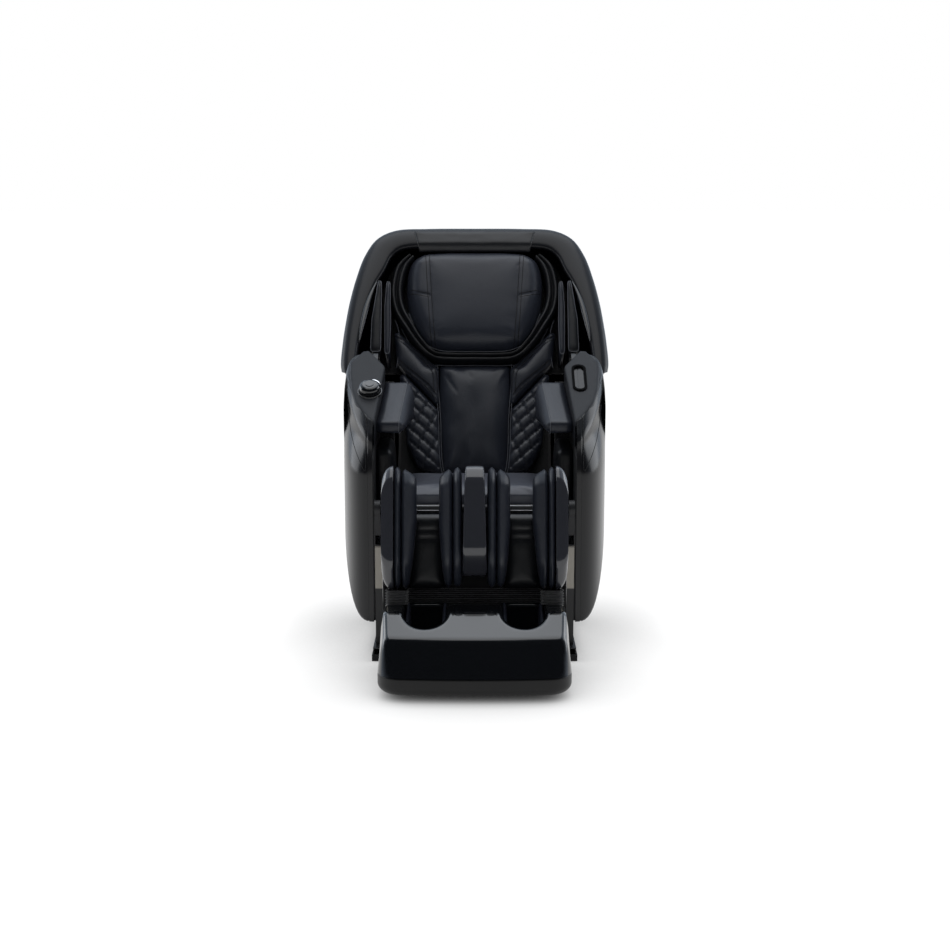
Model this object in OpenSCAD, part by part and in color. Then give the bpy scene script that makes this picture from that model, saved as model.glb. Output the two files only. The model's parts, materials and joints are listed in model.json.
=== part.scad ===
// Reclining massage chair: floor frame, tilting seat with side shells, hooded backrest,
// roller carriage, lifting calf unit and telescoping foot unit.
// Millimetres. +Z is up, the sitter faces -Y, and the origin is on the floor.

/* [Seat frame] */
// Height of the seat side members' underside above the floor
member_z = 324; // [300:1:330]
// Height of a seat side member
member_h = 80; // [70:1:90]
// Inner half width between the seat side members
member_x = 262; // [258:0.5:264]
// Front end of the seat side members
seat_front = -262; // [-266:1:-250]
// Wall of the steel tubes and channels
tube_wall = 3; // [2:0.5:4]
// Radial clearance between a shaft and its bore
fit = 0.05; // [0.02:0.01:0.1]
// Gap between pieces that meet without touching
seam = 0.3; // [0.2:0.1:0.5]

/* [Joint axes] */
// Backrest hinge, distance behind the origin
back_y = 150; // [148:1:152]
// Backrest hinge, height
back_z = 400; // [398:1:402]
// Lean of the backrest from upright
back_tilt = 30; // [26:1:33]
// Calf unit hinge, distance from the origin
leg_y = -280; // [-284:1:-279]
// Calf unit hinge, height
leg_z = 435; // [433:1:440]
// Forward lean of the hanging calf unit
leg_tilt = 12; // [11:0.5:14]
// Zero gravity hinge, distance behind the origin
tilt_y = 110; // [105:1:115]
// Zero gravity hinge, height
tilt_z = 230; // [226:1:234]
// Radius of the backrest and calf hinge shafts
shaft_r = 12; // [10:0.5:14]
// Radius of the zero gravity hinge shaft
tilt_shaft_r = 10; // [8:0.5:12]

/* [Floor frame] */
// Height of the floor rails
rail_h = 30; // [26:1:34]
// Width of the floor rails
rail_w = 26; // [22:1:28]
// Centre line of each floor rail
rail_x = 275; // [272:1:278]
// Front end of the floor rails
rail_front = -300; // [-305:1:-280]
// Back end of the floor rails
rail_back = 330; // [320:1:345]
// Thickness of the rubber feet under the rails
foot_pad = 6; // [4:1:8]
// Radius of the transport wheels
wheel_r = 26; // [22:1:28]

/* [Side shells] */
// Half width over the side shells
panel_out = 398; // [392:1:404]
// Outer face of the liner plates that close the side shells
liner_out = 288; // [287:0.5:290]
// Thickness of the liner plates
liner_t = 4; // [3:0.5:4.5]
// Wall of the side shells
panel_wall = 7; // [5:0.5:9]
// Height of the side shells' lower edge at the front
panel_low = 95; // [90:1:105]
// Front edge of the side shells
panel_front = -250; // [-254:1:-240]
// Radius of the rear edge, struck from the backrest hinge
panel_arc = 360; // [355:1:362]
// Height of the armrest's top at its front end
arm_front_z = 674; // [664:1:684]
// Rise of the armrest's top towards the back, in degrees
arm_slope = 29.6; // [27:0.2:31]
// Depth of the armrest cap below its top
arm_depth = 70; // [60:1:76]

/* [Controls] */
// Radius of the control dial
dial_r = 31; // [27:1:34]
// Height of the control dial above the armrest
dial_h = 26; // [20:1:30]
// Width of the phone pocket's mouth
pocket_w = 28; // [22:1:30]
// Length of the phone pocket's mouth
pocket_l = 112; // [100:1:116]

/* [Backrest] */
// Half width of the hood at its widest
hood_w = 408; // [402:1:412]
// Height of the hood's crown along the backrest
crown_u = 857; // [850:1:864]
// Thickness of the hood's front rim at the sides
rim_t = 50; // [44:1:54]
// Clearance of the hood's lower ends from the side shells' rear edge
wing_gap = 12; // [10:1:16]
// Half width of the backrest between the side shells
back_half = 256; // [250:0.5:257]
// Depth of the backrest shell behind the hinge line
back_depth = 172; // [168:1:176]
// Front face of the board that carries the back cushions
board_v = 28; // [26:0.5:30]
// Thickness of the back board
board_t = 10; // [8:0.5:12]
// Front of the back cushion
pad_v = 82; // [76:1:88]
// Front of the head pillow
pillow_v = 135; // [125:1:140]
// Front of the padded collar round the pillow
collar_v = 105; // [98:1:110]

/* [Massage carriage] */
// Radius of a kneading roller
roller_r = 22; // [18:1:22]
// Distance of a roller from its arm's axle
roller_reach = 58; // [52:1:62]
// Width of a kneading roller
roller_w = 28; // [22:1:30]
// Inner half distance between the guide rails
guide_x = 140; // [136:1:146]

/* [Calf and foot units] */
// Half width of the calf unit
leg_half = 255; // [252:0.5:257]
// Front of the calf unit's covers, square to its length
leg_front = 140; // [134:1:144]
// Top of the calf unit above its hinge
leg_top = 125; // [115:1:130]
// Bottom of the calf unit below its hinge
leg_bottom = 224; // [218:1:228]
// Half width of the glossy divider between the calves
divider_w = 35; // [30:1:38]
// Radius of the foot unit's slide rods
rod_r = 8; // [6:0.5:9]
// Front of the foot unit
foot_front = -697; // [-705:1:-685]
// Back of the foot unit
foot_back = -322; // [-325:1:-318]
// Clearance under the foot unit
foot_low = 15; // [12:1:20]
// Height of the seam between the foot unit's cover and its skirt
foot_seam = 68; // [62:1:74]

/* [Hidden] */
$fn = 48;

satin_black = [0.07, 0.07, 0.08];
gloss_black = [0.03, 0.03, 0.035];
leather_black = [0.10, 0.105, 0.115];
paint_grey = [0.78, 0.77, 0.73];
steel = [0.55, 0.56, 0.58];
rubber_black = [0.05, 0.05, 0.05];
chrome = [0.85, 0.86, 0.88];

// ---- Numbers that several pieces share ----
member_t = liner_out - liner_t - seam - member_x;
member_top = member_z + member_h;
pan_t = 10;
cushion_top = member_top + 81;
boss_in = member_x - 26;
rail_z = foot_pad;
rail_top = rail_z + rail_h;
beam_y = [-240, -60, 120, 240];
beam_w = 40;
post_y = -262;
post_w = 32;
// Zero gravity actuator: a vertical rod in front of the hinge, its pin level with the hinge
lift_y = tilt_y - 290;
lift_r = 11;
pin_r = 6;
// Recline actuator: a level rod under the hinge, driving a slotted crank
crank_h = 90;
crank_half = 22.5;
crank_pin_y = back_y + crank_h * tan(crank_half);
crank_slot = [crank_h - 3, crank_h / cos(crank_half) + 3];
rod_z = back_z - crank_h;
recline_rod_r = 9;
// Armrest plane: a point on it and its direction
arm_front_y = -200;
arm_u = [cos(arm_slope), sin(arm_slope)];
dial_t = 136;
dial_x = 303;
pocket_t = 200;
pocket_x = 306;
// Massage carriage
carriage_u = 190;
arm_axle_v = -12;
arm_axle_r = 8;
roller_v = arm_axle_v;
arm_x = 44;
arm_t = 10;
roller_pin_r = 6;
// Power inlet and its rocker switch, which rests tipped by switch_tip
inlet_x = [-26, 26];
switch_y = 272;
switch_z = 84;
switch_tip = 6;
// Calf and foot units
slide_x = leg_half - 47;
slide_n = 14;
shell_back = -12;
shell_front = 38;
channel_in = 84;
channel_out = leg_half - 74;
rib_split = leg_half - 53.5;
cover_in = leg_half - 33;
well_x = slide_x - 76;
well_half = 58;
foot_half = leg_half + 1;
sole_z = 84;
foot_roller_y = -520;
foot_roller_z = 46;

// ---- Outlines ----
function unit(v) = v / norm(v);
function lerp(a, b, t) = a + (b - a) * t;

// Outline whose corners [x, y, radius] are rounded with arcs of n steps
function rounded(c, n = 5) = [
    for (i = [0 : len(c) - 1])
        let (
            p = [c[i].x, c[i].y],
            q = c[(i + len(c) - 1) % len(c)],
            s = c[(i + 1) % len(c)],
            d = unit([q.x, q.y] - p),
            e = unit([s.x, s.y] - p),
            half = acos(max(-1, min(1, d * e))) / 2,
            m = p + unit(d + e) * c[i].z / sin(half),
            f = p + d * c[i].z / tan(half) - m,
            turn = sign(cross(d, e)) * -(180 - 2 * half)
        )
        for (k = [0 : c[i].z > 0 ? n : 0])
            c[i].z > 0
                ? m + [f.x * cos(turn * k / n) - f.y * sin(turn * k / n),
                       f.x * sin(turn * k / n) + f.y * cos(turn * k / n)]
                : p
];

// The middle of an outline's box, and the outline drawn in by d towards it
function middle(o) = [for (k = [0, 1]) (max([for (p = o) p[k]]) + min([for (p = o) p[k]])) / 2];
function drawn_in(o, d, c) = [for (p = o) c + (p - c) * (1 - d / norm(p - c))];

// ---- Solids ----
// Skin over rings with the same number of points, closed at both ends. A band's ring runs out
// along one edge and back along the other, and its ends are strips between those edges
module skin(rings, band = false) {
    n = len(rings[0]);
    m = len(rings);
    pts = [for (r = rings) each r];
    walls = [
        for (i = [0 : m - 2], j = [0 : n - 1])
            let (a = i * n + j, b = i * n + (j + 1) % n)
            each [[a, a + n, b], [b, a + n, b + n]]
    ];
    last = (m - 1) * n;
    ends = band
        ? [for (j = [0 : n / 2 - 2])
            let (k = n - 1 - j)
            each [[j, j + 1, k], [j + 1, k - 1, k], [last + j, last + k, last + j + 1], [last + j + 1, last + k, last + k - 1]]]
        : [[for (j = [0 : n - 1]) j], [for (j = [n - 1 : -1 : 0]) last + j]];
    out = [for (f = walls) pts[f[0]] * cross(pts[f[1]], pts[f[2]])];
    caps = [for (f = ends, k = [1 : len(f) - 2]) pts[f[0]] * cross(pts[f[k]], pts[f[k + 1]])];
    total = out * [for (x = out) 1] + caps * [for (x = caps) 1];
    faces = concat(walls, ends);
    polyhedron(pts, total < 0 ? faces : [for (f = faces) [for (k = [len(f) - 1 : -1 : 0]) f[k]]]);
}

// Cushion: an outline in X and Z pushed forward (-Y) from back to front, its front edge rounded by r
module puff(o, back, front, r, steps = 3) {
    c = middle(o);
    skin(concat(
        [[for (p = o) [p.x, -back, p.y]]],
        [for (k = [0 : steps])
            let (a = 90 * k / steps)
            [for (p = drawn_in(o, r * (1 - cos(a)), c)) [p.x, -(front - r + r * sin(a)), p.y]]]
    ));
}

// Cushion with the same form, lying down: an outline in X and Y raised from low to high
module puff_up(o, low, high, r, steps = 3) {
    c = middle(o);
    skin(concat(
        [[for (p = o) [p.x, p.y, low]]],
        [for (k = [0 : steps])
            let (a = 90 * k / steps)
            [for (p = drawn_in(o, r * (1 - cos(a)), c)) [p.x, p.y, high - r + r * sin(a)]]]
    ));
}

module box(x, y, z) {
    translate([x[0], y[0], z[0]]) cube([x[1] - x[0], y[1] - y[0], z[1] - z[0]]);
}

// Cylinder along X between x[0] and x[1]
module rod_x(x, y, z, r) {
    translate([x[0], y, z]) rotate([0, 90, 0]) cylinder(h = x[1] - x[0], r = r);
}

// Outline in Y and Z made solid between x[0] and x[1]
module slab_x(x, o) {
    translate([x[0], 0, 0]) rotate([90, 0, 90]) linear_extrude(x[1] - x[0]) polygon(o);
}

// Outline in X and Z made solid between y[0] and y[1]
module slab_y(y, o) {
    translate([0, y[1], 0]) rotate([90, 0, 0]) linear_extrude(y[1] - y[0]) polygon(o);
}

// Square tube with open ends between two heights, sizes as in box()
module tube_z(x, y, z) {
    difference() {
        box(x, y, z);
        box([x[0] + tube_wall, x[1] - tube_wall], [y[0] + tube_wall, y[1] - tube_wall], [z[0] - 1, z[1] + 1]);
    }
}

module tube_y(x, y, z) {
    difference() {
        box(x, y, z);
        box([x[0] + tube_wall, x[1] - tube_wall], [y[0] - 1, y[1] + 1], [z[0] + tube_wall, z[1] - tube_wall]);
    }
}

module tube_x(x, y, z) {
    difference() {
        box(x, y, z);
        box([x[0] - 1, x[1] + 1], [y[0] + tube_wall, y[1] - tube_wall], [z[0] + tube_wall, z[1] - tube_wall]);
    }
}

module pair() {
    children();
    mirror([1, 0, 0]) children();
}

module on_side(s) {
    if (s < 0) mirror([1, 0, 0]) children();
    else children();
}

// Backrest frame: X across, -Y out of the cushions, Z along the backrest from its hinge
module in_back() {
    translate([0, back_y, back_z]) rotate([-back_tilt, 0, 0]) children();
}

// Calf frame: X across, -Y out of the calf pads, Z up along the calf from its hinge
module in_leg() {
    translate([0, leg_y, leg_z]) rotate([-leg_tilt, 0, 0]) children();
}

// Armrest plane: X across, Y up its slope from the front end, Z square out of its top
module on_arm() {
    translate([0, arm_front_y, arm_front_z]) rotate([arm_slope, 0, 0]) children();
}

// ---- Base ----
module floor_frame() {
    color(paint_grey) difference() {
        union() {
            pair() {
                tube_y([rail_x - rail_w / 2, rail_x + rail_w / 2], [rail_front, rail_back], [rail_z, rail_top]);
                post(post_y, post_w);
                pivot_post();
                rod_x([member_x - 34, rail_x - rail_w / 2], rail_back - 30, wheel_r + 2, pin_r);
            }
            for (y = beam_y)
                tube_x([-rail_x + rail_w / 2, rail_x - rail_w / 2], [y - beam_w / 2, y + beam_w / 2],
                       [rail_z + 2, rail_top - 2]);
        }
        rod_x([-rail_x - 20, rail_x + 20], tilt_y, tilt_z, tilt_shaft_r + fit);
    }
}

// Front post with round shoulders that the seat frame rests on
module post(y, w) {
    slab_x([member_x, member_x + 20],
           rounded([[y, rail_top, 0], [y + w, rail_top, 0], [y + w, member_z - seam, 8], [y, member_z - seam, 8]]));
}

module pivot_post() {
    x = [member_x + 2, member_x + 18];
    slab_x(x, [[tilt_y - 60, rail_top], [tilt_y + 60, rail_top], [tilt_y + 25, tilt_z], [tilt_y - 25, tilt_z]]);
    rod_x(x, tilt_y, tilt_z, 26);
}

module rail_feet() {
    color(rubber_black) pair() for (end = [0, 1])
        difference() {
            y = end == 0 ? [rail_front - 10, rail_front + 38] : [rail_back - 38, rail_back + 10];
            box([rail_x - rail_w / 2 - 3, rail_x + rail_w / 2 + 3], y, [0, rail_z + 12]);
            box([rail_x - rail_w / 2, rail_x + rail_w / 2], [rail_front, rail_back], [rail_z, rail_top + 10]);
        }
}

module tilt_shaft() {
    color(steel) rod_x([-member_x - 19, member_x + 19], tilt_y, tilt_z, tilt_shaft_r);
}

module power_box() {
    color(satin_black) difference() {
        slab_x([-110, 110], rounded([[130, rail_top - 2, 0], [262, rail_top - 2, 0], [262, 106, 12], [130, 106, 12]]));
        for (x = [-90 : 12 : -42])
            box([x, x + 5], [250, 270], [56, 92]);
    }
}

module power_inlet() {
    color(satin_black) difference() {
        box(inlet_x, [262, 280], [40, 100]);
        difference() {
            box([-14, 14], [267, 281], [45, 63]);
            for (p = [[-7, 51], [7, 51], [0, 58]])
                translate([p.x, 266, p.y]) rotate([-90, 0, 0]) cylinder(h = 10, r = 1.6, $fn = 16);
        }
        box([-16, 16], [264, 281], [72, 96]);
    }
}

module power_switch() {
    color(gloss_black) {
        translate([0, switch_y, switch_z]) rotate([switch_tip, 0, 0])
            slab_x([-14, 14], rounded([[-4, -10, 1], [9, -10, 1], [7, 0, 2], [9, 10, 1], [-4, 10, 1]], 3));
        rod_x([-15.9, 15.9], switch_y, switch_z, 2);
    }
}

module air_pump() {
    color(satin_black) {
        slab_x([-90, 30], rounded([[-130, rail_top - 2, 0], [10, rail_top - 2, 0], [10, 100, 14], [-130, 100, 14]]));
        rod_x([30, 95], -60, 68, 30);
        for (x = [-70, -40, -10])
            translate([x, -100, 100]) cylinder(h = 14, r = 5);
    }
}

module tilt_actuator() {
    color(satin_black) difference() {
        union() {
            box([-32, 32], [lift_y - 26, lift_y + 26], [rail_top - 2, 84]);
            translate([0, lift_y, 84]) cylinder(h = 106, r = lift_r + 7);
            rod_x([32, 110], lift_y, 62, 22);
            box([-32, 32], [beam_y[0] + beam_w / 2 - 20, lift_y - 26], [rail_top - 2, 50]);
        }
        translate([0, lift_y, 70]) cylinder(h = 130, r = lift_r + fit);
    }
}

module tilt_rod() {
    color(steel) {
        translate([0, lift_y, 74]) cylinder(h = tilt_z - 74 - 33, r = lift_r);
        difference() {
            box([-18, 18], [lift_y - 12, lift_y + 12], [tilt_z - 34, tilt_z + 12]);
            box([-8, 8], [lift_y - 20, lift_y + 20], [tilt_z - 24, tilt_z + 20]);
        }
        rod_x([-18, 18], lift_y, tilt_z, pin_r);
    }
}

module wheel(s) {
    w = 22;
    color(rubber_black) on_side(s) difference() {
        translate([member_x - 30, rail_back - 30, wheel_r + 2]) rotate([0, 90, 0])
            rotate_extrude() polygon([[0, 0], [wheel_r - 7, 0], [wheel_r, 4], [wheel_r, w - 4], [wheel_r - 7, w], [0, w]]);
        rod_x([member_x - 40, member_x], rail_back - 30, wheel_r + 2, pin_r + fit);
    }
}

module wheel_left() { wheel(-1); }
module wheel_right() { wheel(1); }

// ---- Seat ----
module seat_frame() {
    x0 = member_x;
    x1 = member_x + member_t;
    color(paint_grey) difference() {
        union() {
            pair() {
                tube_y([x0, x1], [seat_front, back_y + 40], [member_z, member_top]);
                rod_x([x0, x1], back_y, back_z, 28);
                slab_x([x0 + 2, x0 + 18], [[seat_front, member_z + 30], [seat_front + 30, member_top],
                                           [leg_y + 24, leg_z], [leg_y - 22, leg_z - 6]]);
                rod_x([x0 + 2, x0 + 18], leg_y, leg_z, 24);
                hanger();
            }
            box([-x0, x0], [seat_front, 40], [member_top - pan_t, member_top]);
            for (y = [seat_front, 10])
                tube_x([-x0, x0], [y, y + 30], [member_top - pan_t - 30, member_top - pan_t]);
            tilt_bracket();
        }
        rod_x([-x1 - 1, x1 + 1], back_y, back_z, shaft_r + fit);
        rod_x([-x1 - 1, x1 + 1], leg_y, leg_z, shaft_r + fit);
        rod_x([-x1 - 1, x1 + 1], tilt_y, tilt_z, tilt_shaft_r + fit);
    }
}

// Plate from a side member down to the zero gravity shaft
module hanger() {
    x = [member_x - 12, member_x];
    slab_x(x, [[tilt_y - 36, member_z + 30], [tilt_y - 24, tilt_z], [tilt_y + 24, tilt_z], [tilt_y + 36, member_z + 30]]);
    rod_x(x, tilt_y, tilt_z, 26);
}

// Slotted plate that the zero gravity rod's pin lifts
module tilt_bracket() {
    difference() {
        slab_x([-6, 6], [[lift_y - 20, tilt_z - 12], [lift_y + 26, tilt_z - 12], [lift_y + 26, member_top - pan_t], [lift_y - 20, member_top - pan_t]]);
        for (y = [lift_y - 10, lift_y + 1])
            rod_x([-10, 10], y, tilt_z, pin_r + 2);
        box([-10, 10], [lift_y - 10, lift_y + 1], [tilt_z - pin_r - 2, tilt_z + pin_r + 2]);
    }
}

module seat_cushion() {
    color(leather_black) puff_up(rounded([[-228, seat_front + 2, 40], [228, seat_front + 2, 40], [228, 46, 20], [-228, 46, 20]]),
                                 member_top, cushion_top, 34, 4);
}

// Lower outline of a side shell: its rear edge is an arc round the backrest hinge.
// front, low and rear draw the outline in, and top lowers its upper edge
function panel_outline(front, low, rear, top) =
    let (r = panel_arc - rear)
    rounded(concat(
        [[panel_front + front, panel_low + low, 26], [280 - rear, panel_low + 25 + low, 60]],
        [for (k = [0 : 7]) let (a = lerp(75, -8, k / 7)) [back_y + r * sin(a), back_z + r * cos(a), 0]],
        [[panel_front + front, 572 - top, 12]]
    ), 4);

// Crest of a side shell, round the armrest
function arm_line(y) = arm_front_z + (y - arm_front_y) * tan(arm_slope);
function crest_outline(front, top, rear) = [
    [panel_front + front, 520 + front * 0.53],
    [back_y - 52 - rear, back_z + panel_arc - 52],
    [back_y - 56 - rear, arm_line(94 - rear) + 2 - top],
    [arm_front_y + front, arm_line(arm_front_y + front) + 2 - top],
    [panel_front + 10 + front, arm_line(arm_front_y + front) - 44 - top]
];

// Layers of a side shell from its liner outwards: share of the depth, then how far the
// outline is drawn in at the front, at the low edge, at the rear and at the top
panel_layers = [[0, 0, 0, 0, 0], [0.13, 1, 0, 0, 0], [0.47, 16, 4, 1, 0.5],
                [0.76, 66, 110, 14, 2], [0.94, 130, 190, 40, 10], [1, 190, 260, 80, 30]];
crest_layers = [[0, 0, 0, 0], [0.3, 36, 0, 0.4], [0.58, 76, 0.5, 1], [0.76, 128, 4, 3], [0.94, 215, 42, 9]];

module panel_body(t) {
    inner = liner_out - (t > 0 ? 1 : 0);
    skin([
        for (k = panel_layers)
            [for (p = panel_outline(k[1] + t, k[2] + t, k[3] + t, k[4] + t)) [lerp(inner, panel_out - t, k[0]), p.x, p.y]]
    ]);
}

module panel_crest() {
    skin([
        for (k = crest_layers)
            [for (p = crest_outline(k[1], k[2], k[3])) [lerp(liner_out, panel_out, k[0]), p.x, p.y]]
    ]);
}

// Plan of the armrest cap
arm_inner = [[liner_out - 4, arm_front_y - 6], [264, 28]];
function arm_plan() = rounded([
    [arm_inner[0].x, arm_inner[0].y, 0], [liner_out + 10, arm_front_y + 4, 0], [320, -168, 30], [349, -128, 60], [367, -76, 80],
    [378, 0, 60], [378, 46, 14], [323, 108, 10], [arm_inner[1].x, arm_inner[1].y, 8]
]);

module arm_prism(extra) {
    translate([0, 0, 400]) linear_extrude(600) polygon(drawn_in(arm_plan(), -extra, middle(arm_plan())));
}

module above_arm(depth) {
    slab_x([200, 420], [
        [arm_front_y - 60, arm_front_z - 60 * tan(arm_slope) - depth],
        [arm_front_y + 340, arm_front_z + 340 * tan(arm_slope) - depth],
        [arm_front_y + 340, 1000], [arm_front_y - 60, 1000]
    ]);
}

module side_panel() {
    color(satin_black) difference() {
        union() {
            panel_body(0);
            panel_crest();
        }
        panel_body(panel_wall);
        intersection() {
            arm_prism(seam);
            above_arm(arm_depth + seam);
        }
        above_arm(0);
        behind_arm();
    }
}

// What is cut away behind the armrest's slanted rear edge
module behind_arm() {
    translate([0, 0, arm_front_z]) linear_extrude(400)
        polygon([[374, 30], [384, 2], [470, -30], [470, 200], [300, 200], [316, 100]]);
}

module side_panel_left() { mirror([1, 0, 0]) side_panel(); }
module side_panel_right() { side_panel(); }

module inner_liners() {
    color(satin_black) pair() slab_x([liner_out - liner_t, liner_out], panel_outline(0, 0, 0, 0));
}

module armrest_cap() {
    difference() {
        intersection() {
            arm_prism(0);
            above_arm(arm_depth);
        }
        above_arm(0);
    }
}

module armrest_left() {
    color(satin_black) mirror([1, 0, 0]) difference() {
        armrest_cap();
        on_arm() translate([dial_x, dial_t, -16]) cylinder(h = 40, r = 10 + fit);
    }
}

module armrest_right() {
    color(satin_black) difference() {
        armrest_cap();
        on_arm() translate([pocket_x, pocket_t, -55]) pocket_form(pocket_w / 2 + 3 + seam / 2, 100);
    }
}

// Upright slot with round ends, half width r
module pocket_form(r, h) {
    flat = pocket_l - pocket_w;
    linear_extrude(h) {
        square([2 * r, flat], center = true);
        for (y = [-flat / 2, flat / 2])
            translate([0, y]) circle(r);
    }
}

module phone_pocket() {
    color(gloss_black) on_arm() translate([pocket_x, pocket_t, 0]) difference() {
        union() {
            translate([0, 0, -55]) pocket_form(pocket_w / 2 + 3, 55);
            pocket_form(pocket_w / 2 + 7, 4);
        }
        translate([0, 0, -52]) pocket_form(pocket_w / 2, 80);
    }
}

module dial_bezel() {
    color(chrome) mirror([1, 0, 0]) on_arm() translate([dial_x, dial_t, 0]) difference() {
        union() {
            cylinder(h = 4, r = dial_r + 5);
            intersection() {
                cylinder(h = 18, r = dial_r + 5);
                translate([-60, dial_r * 0.35, 0]) cube([120, 60, 18]);
            }
        }
        translate([0, 0, -1]) cylinder(h = 40, r = dial_r + 1);
    }
}

module dial() {
    color(gloss_black) mirror([1, 0, 0]) on_arm() translate([dial_x, dial_t, 0]) difference() {
        union() {
            translate([0, 0, 0.5]) rotate_extrude()
                polygon(concat([[0, 0], [dial_r, 0]],
                               [for (a = [0 : 15 : 90]) [dial_r - 14 + 14 * cos(a), dial_h - 14 + 14 * sin(a)]],
                               [[0, dial_h]]));
            translate([0, 0, -14]) cylinder(h = 16, r = 10);
        }
        translate([0, 0, dial_h - 7]) cylinder(h = 20, r = 12 + fit);
    }
}

module dial_button() {
    color(chrome) mirror([1, 0, 0]) on_arm() translate([dial_x, dial_t, dial_h - 3]) cylinder(h = 5, r = 12);
}

// Padded cheek on the inside of an armrest
module forearm_pads() {
    run = arm_inner[1] - arm_inner[0];
    color(leather_black) pair()
        translate([arm_inner[0].x - seam, arm_inner[0].y, 0]) rotate([0, 0, atan(-run.x / run.y) - 90])
            puff(rounded([[-254, 760, 12], [-254, 630, 14], [-42, 630, 30], [-42, 680, 20]]), 0, 46, 16);
}

module lower_arm_pads() {
    color(leather_black) pair()
        translate([liner_out - liner_t - seam, 0, 0]) rotate([0, 0, -90])
            puff(rounded([[-48, 586, 10], [-48, member_top + seam, 0], [140, member_top + seam, 0], [140, 580, 20]]), 0, 50, 14);
}

module back_shaft() {
    color(steel) rod_x([-member_x - member_t, member_x + member_t], back_y, back_z, shaft_r);
}

module leg_shaft() {
    color(steel) rod_x([-member_x - 19, member_x + 19], leg_y, leg_z, shaft_r);
}

module recline_actuator() {
    color(satin_black) difference() {
        union() {
            translate([0, -130, rod_z]) rotate([-90, 0, 0]) cylinder(h = 195, r = recline_rod_r + 7);
            box([-24, 60], [-148, -108], [rod_z - 24, rod_z + 24]);
            translate([38, -108, rod_z]) rotate([-90, 0, 0]) cylinder(h = 96, r = 20);
            box([-12, 12], [12, 38], [rod_z + 8, member_top - pan_t - 30]);
        }
        translate([0, -125, rod_z]) rotate([-90, 0, 0]) cylinder(h = 230, r = recline_rod_r + fit);
    }
}

module recline_rod() {
    color(steel) {
        translate([0, -40, rod_z]) rotate([-90, 0, 0]) cylinder(h = crank_pin_y - 36 + 40, r = recline_rod_r);
        difference() {
            box([-14, 14], [crank_pin_y - 38, crank_pin_y + 12], [rod_z - 11, rod_z + 11]);
            box([-7, 7], [crank_pin_y - 28, crank_pin_y + 20], [rod_z - 20, rod_z + 20]);
        }
        rod_x([-14, 14], crank_pin_y, rod_z, pin_r);
    }
}

module leg_motor() {
    color(satin_black) {
        box([20, 110], [seat_front + 30, seat_front + 78], [member_top - pan_t - 66, member_top - pan_t]);
        rod_x([110, 190], seat_front + 56, member_top - pan_t - 34, 24);
    }
}

// ---- Backrest ----
module back_frame() {
    color(paint_grey) in_back() difference() {
        union() {
            rod_x([-back_half - 2, back_half + 2], 0, 0, 22);
            pair() {
                tube_z([200, 235], [-board_v + board_t, 22], [0, 790]);
                box([guide_x, guide_x + 14], [15, 45], [60, 790]);
            }
            for (u = [62, 762])
                tube_x([-200, 200], [15, 45], [u, u + 28]);
            crank();
        }
        rod_x([-back_half - 10, back_half + 10], 0, 0, shaft_r + fit);
        on_crank() {
            for (r = crank_slot)
                rod_x([-10, 10], 0, -r, pin_r + 2);
            box([-10, 10], [-pin_r - 2, pin_r + 2], [-crank_slot[1], -crank_slot[0]]);
        }
    }
}

// Crank frame: its Z runs from the slot to the hinge
module on_crank() {
    rotate([back_tilt + crank_half, 0, 0]) children();
}

// Plate under the hinge with a slot for the recline rod's pin
module crank() {
    on_crank() {
        slab_x([-6, 6], [[-20, -8], [-16, -crank_slot[1]], [16, -crank_slot[1]], [20, -8]]);
        rod_x([-6, 6], 0, -crank_slot[1], 16);
    }
}

module back_board() {
    color(satin_black) in_back() difference() {
        slab_y([-board_v, -board_v + board_t], rounded([
            [-226, 30, 20], [226, 30, 20], [226, 384, 0], [342, 384, 10], [316, 610, 60], [254, 776, 60],
            [-254, 776, 60], [-316, 610, 60], [-342, 384, 10], [-226, 384, 0]
        ]));
        slab_y([-board_v - 1, -board_v + board_t + 1], rounded([[-95, 100, 20], [95, 100, 20], [95, 770, 20], [-95, 770, 20]]));
    }
}

// Distance of the hood's rim in front of the hinge line at height u, then of a ring at depth share s
rim_foot = [305, 215];
function rim_v(u) = rim_foot[1] - (u - rim_foot[0]) * (rim_foot[1] - 100) / (crown_u - rim_foot[0]);
function hood_v(u, s) = lerp(rim_v(u), hood_back, s);
// Lower end of the hood at depth share s, struck from the hinge
function wing_u(s) =
    let (v = lerp(rim_foot[1], hood_back, s))
    sqrt(pow(panel_arc + wing_gap, 2) - v * v);
hood_back = -90;

// Corners of the hood's right half from its lower end to the crown, drawn in by t
function hood_half(s, k, t) =
    let (top = crown_u * lerp(0.965, 1, (k - 0.93) / 0.07))
    [
        [hood_w * k - t - 4, wing_u(s), 0],
        [hood_w * k - t, wing_u(s) + 34, 24],
        [hood_w * k * 0.912 - t, 640 - t / 3, 260],
        [hood_w * k * 0.79 - t * 1.35, top - t * 1.35, max(30, 85 - t * 0.6)]
    ];
function other_half(c) = [for (i = [len(c) - 1 : -1 : 0]) [-c[i].x, c[i].y, c[i].z]];
function arch(s, k, t) = rounded(concat(hood_half(s, k, t), other_half(hood_half(s, k, t))), 4);
function reversed(o) = [for (i = [len(o) - 1 : -1 : 0]) o[i]];
function hood_ring(s, k, outer, inner) = [
    for (p = concat(arch(s, k, outer), reversed(arch(s, k, inner))))
        [p.x, -hood_v(p.y, s), p.y]
];

module hood() {
    color(satin_black) in_back() skin([
        hood_ring(0, 1, 9, rim_t - 9),
        hood_ring(0.03, 1, 2, rim_t),
        hood_ring(0.12, 1, 0, rim_t),
        hood_ring(0.3, 1, 0, rim_t * 0.66),
        hood_ring(0.6, 0.985, 0, 24),
        hood_ring(0.85, 0.96, 0, 20),
        hood_ring(1, 0.93, 0, 18)
    ], band = true);
}

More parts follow.
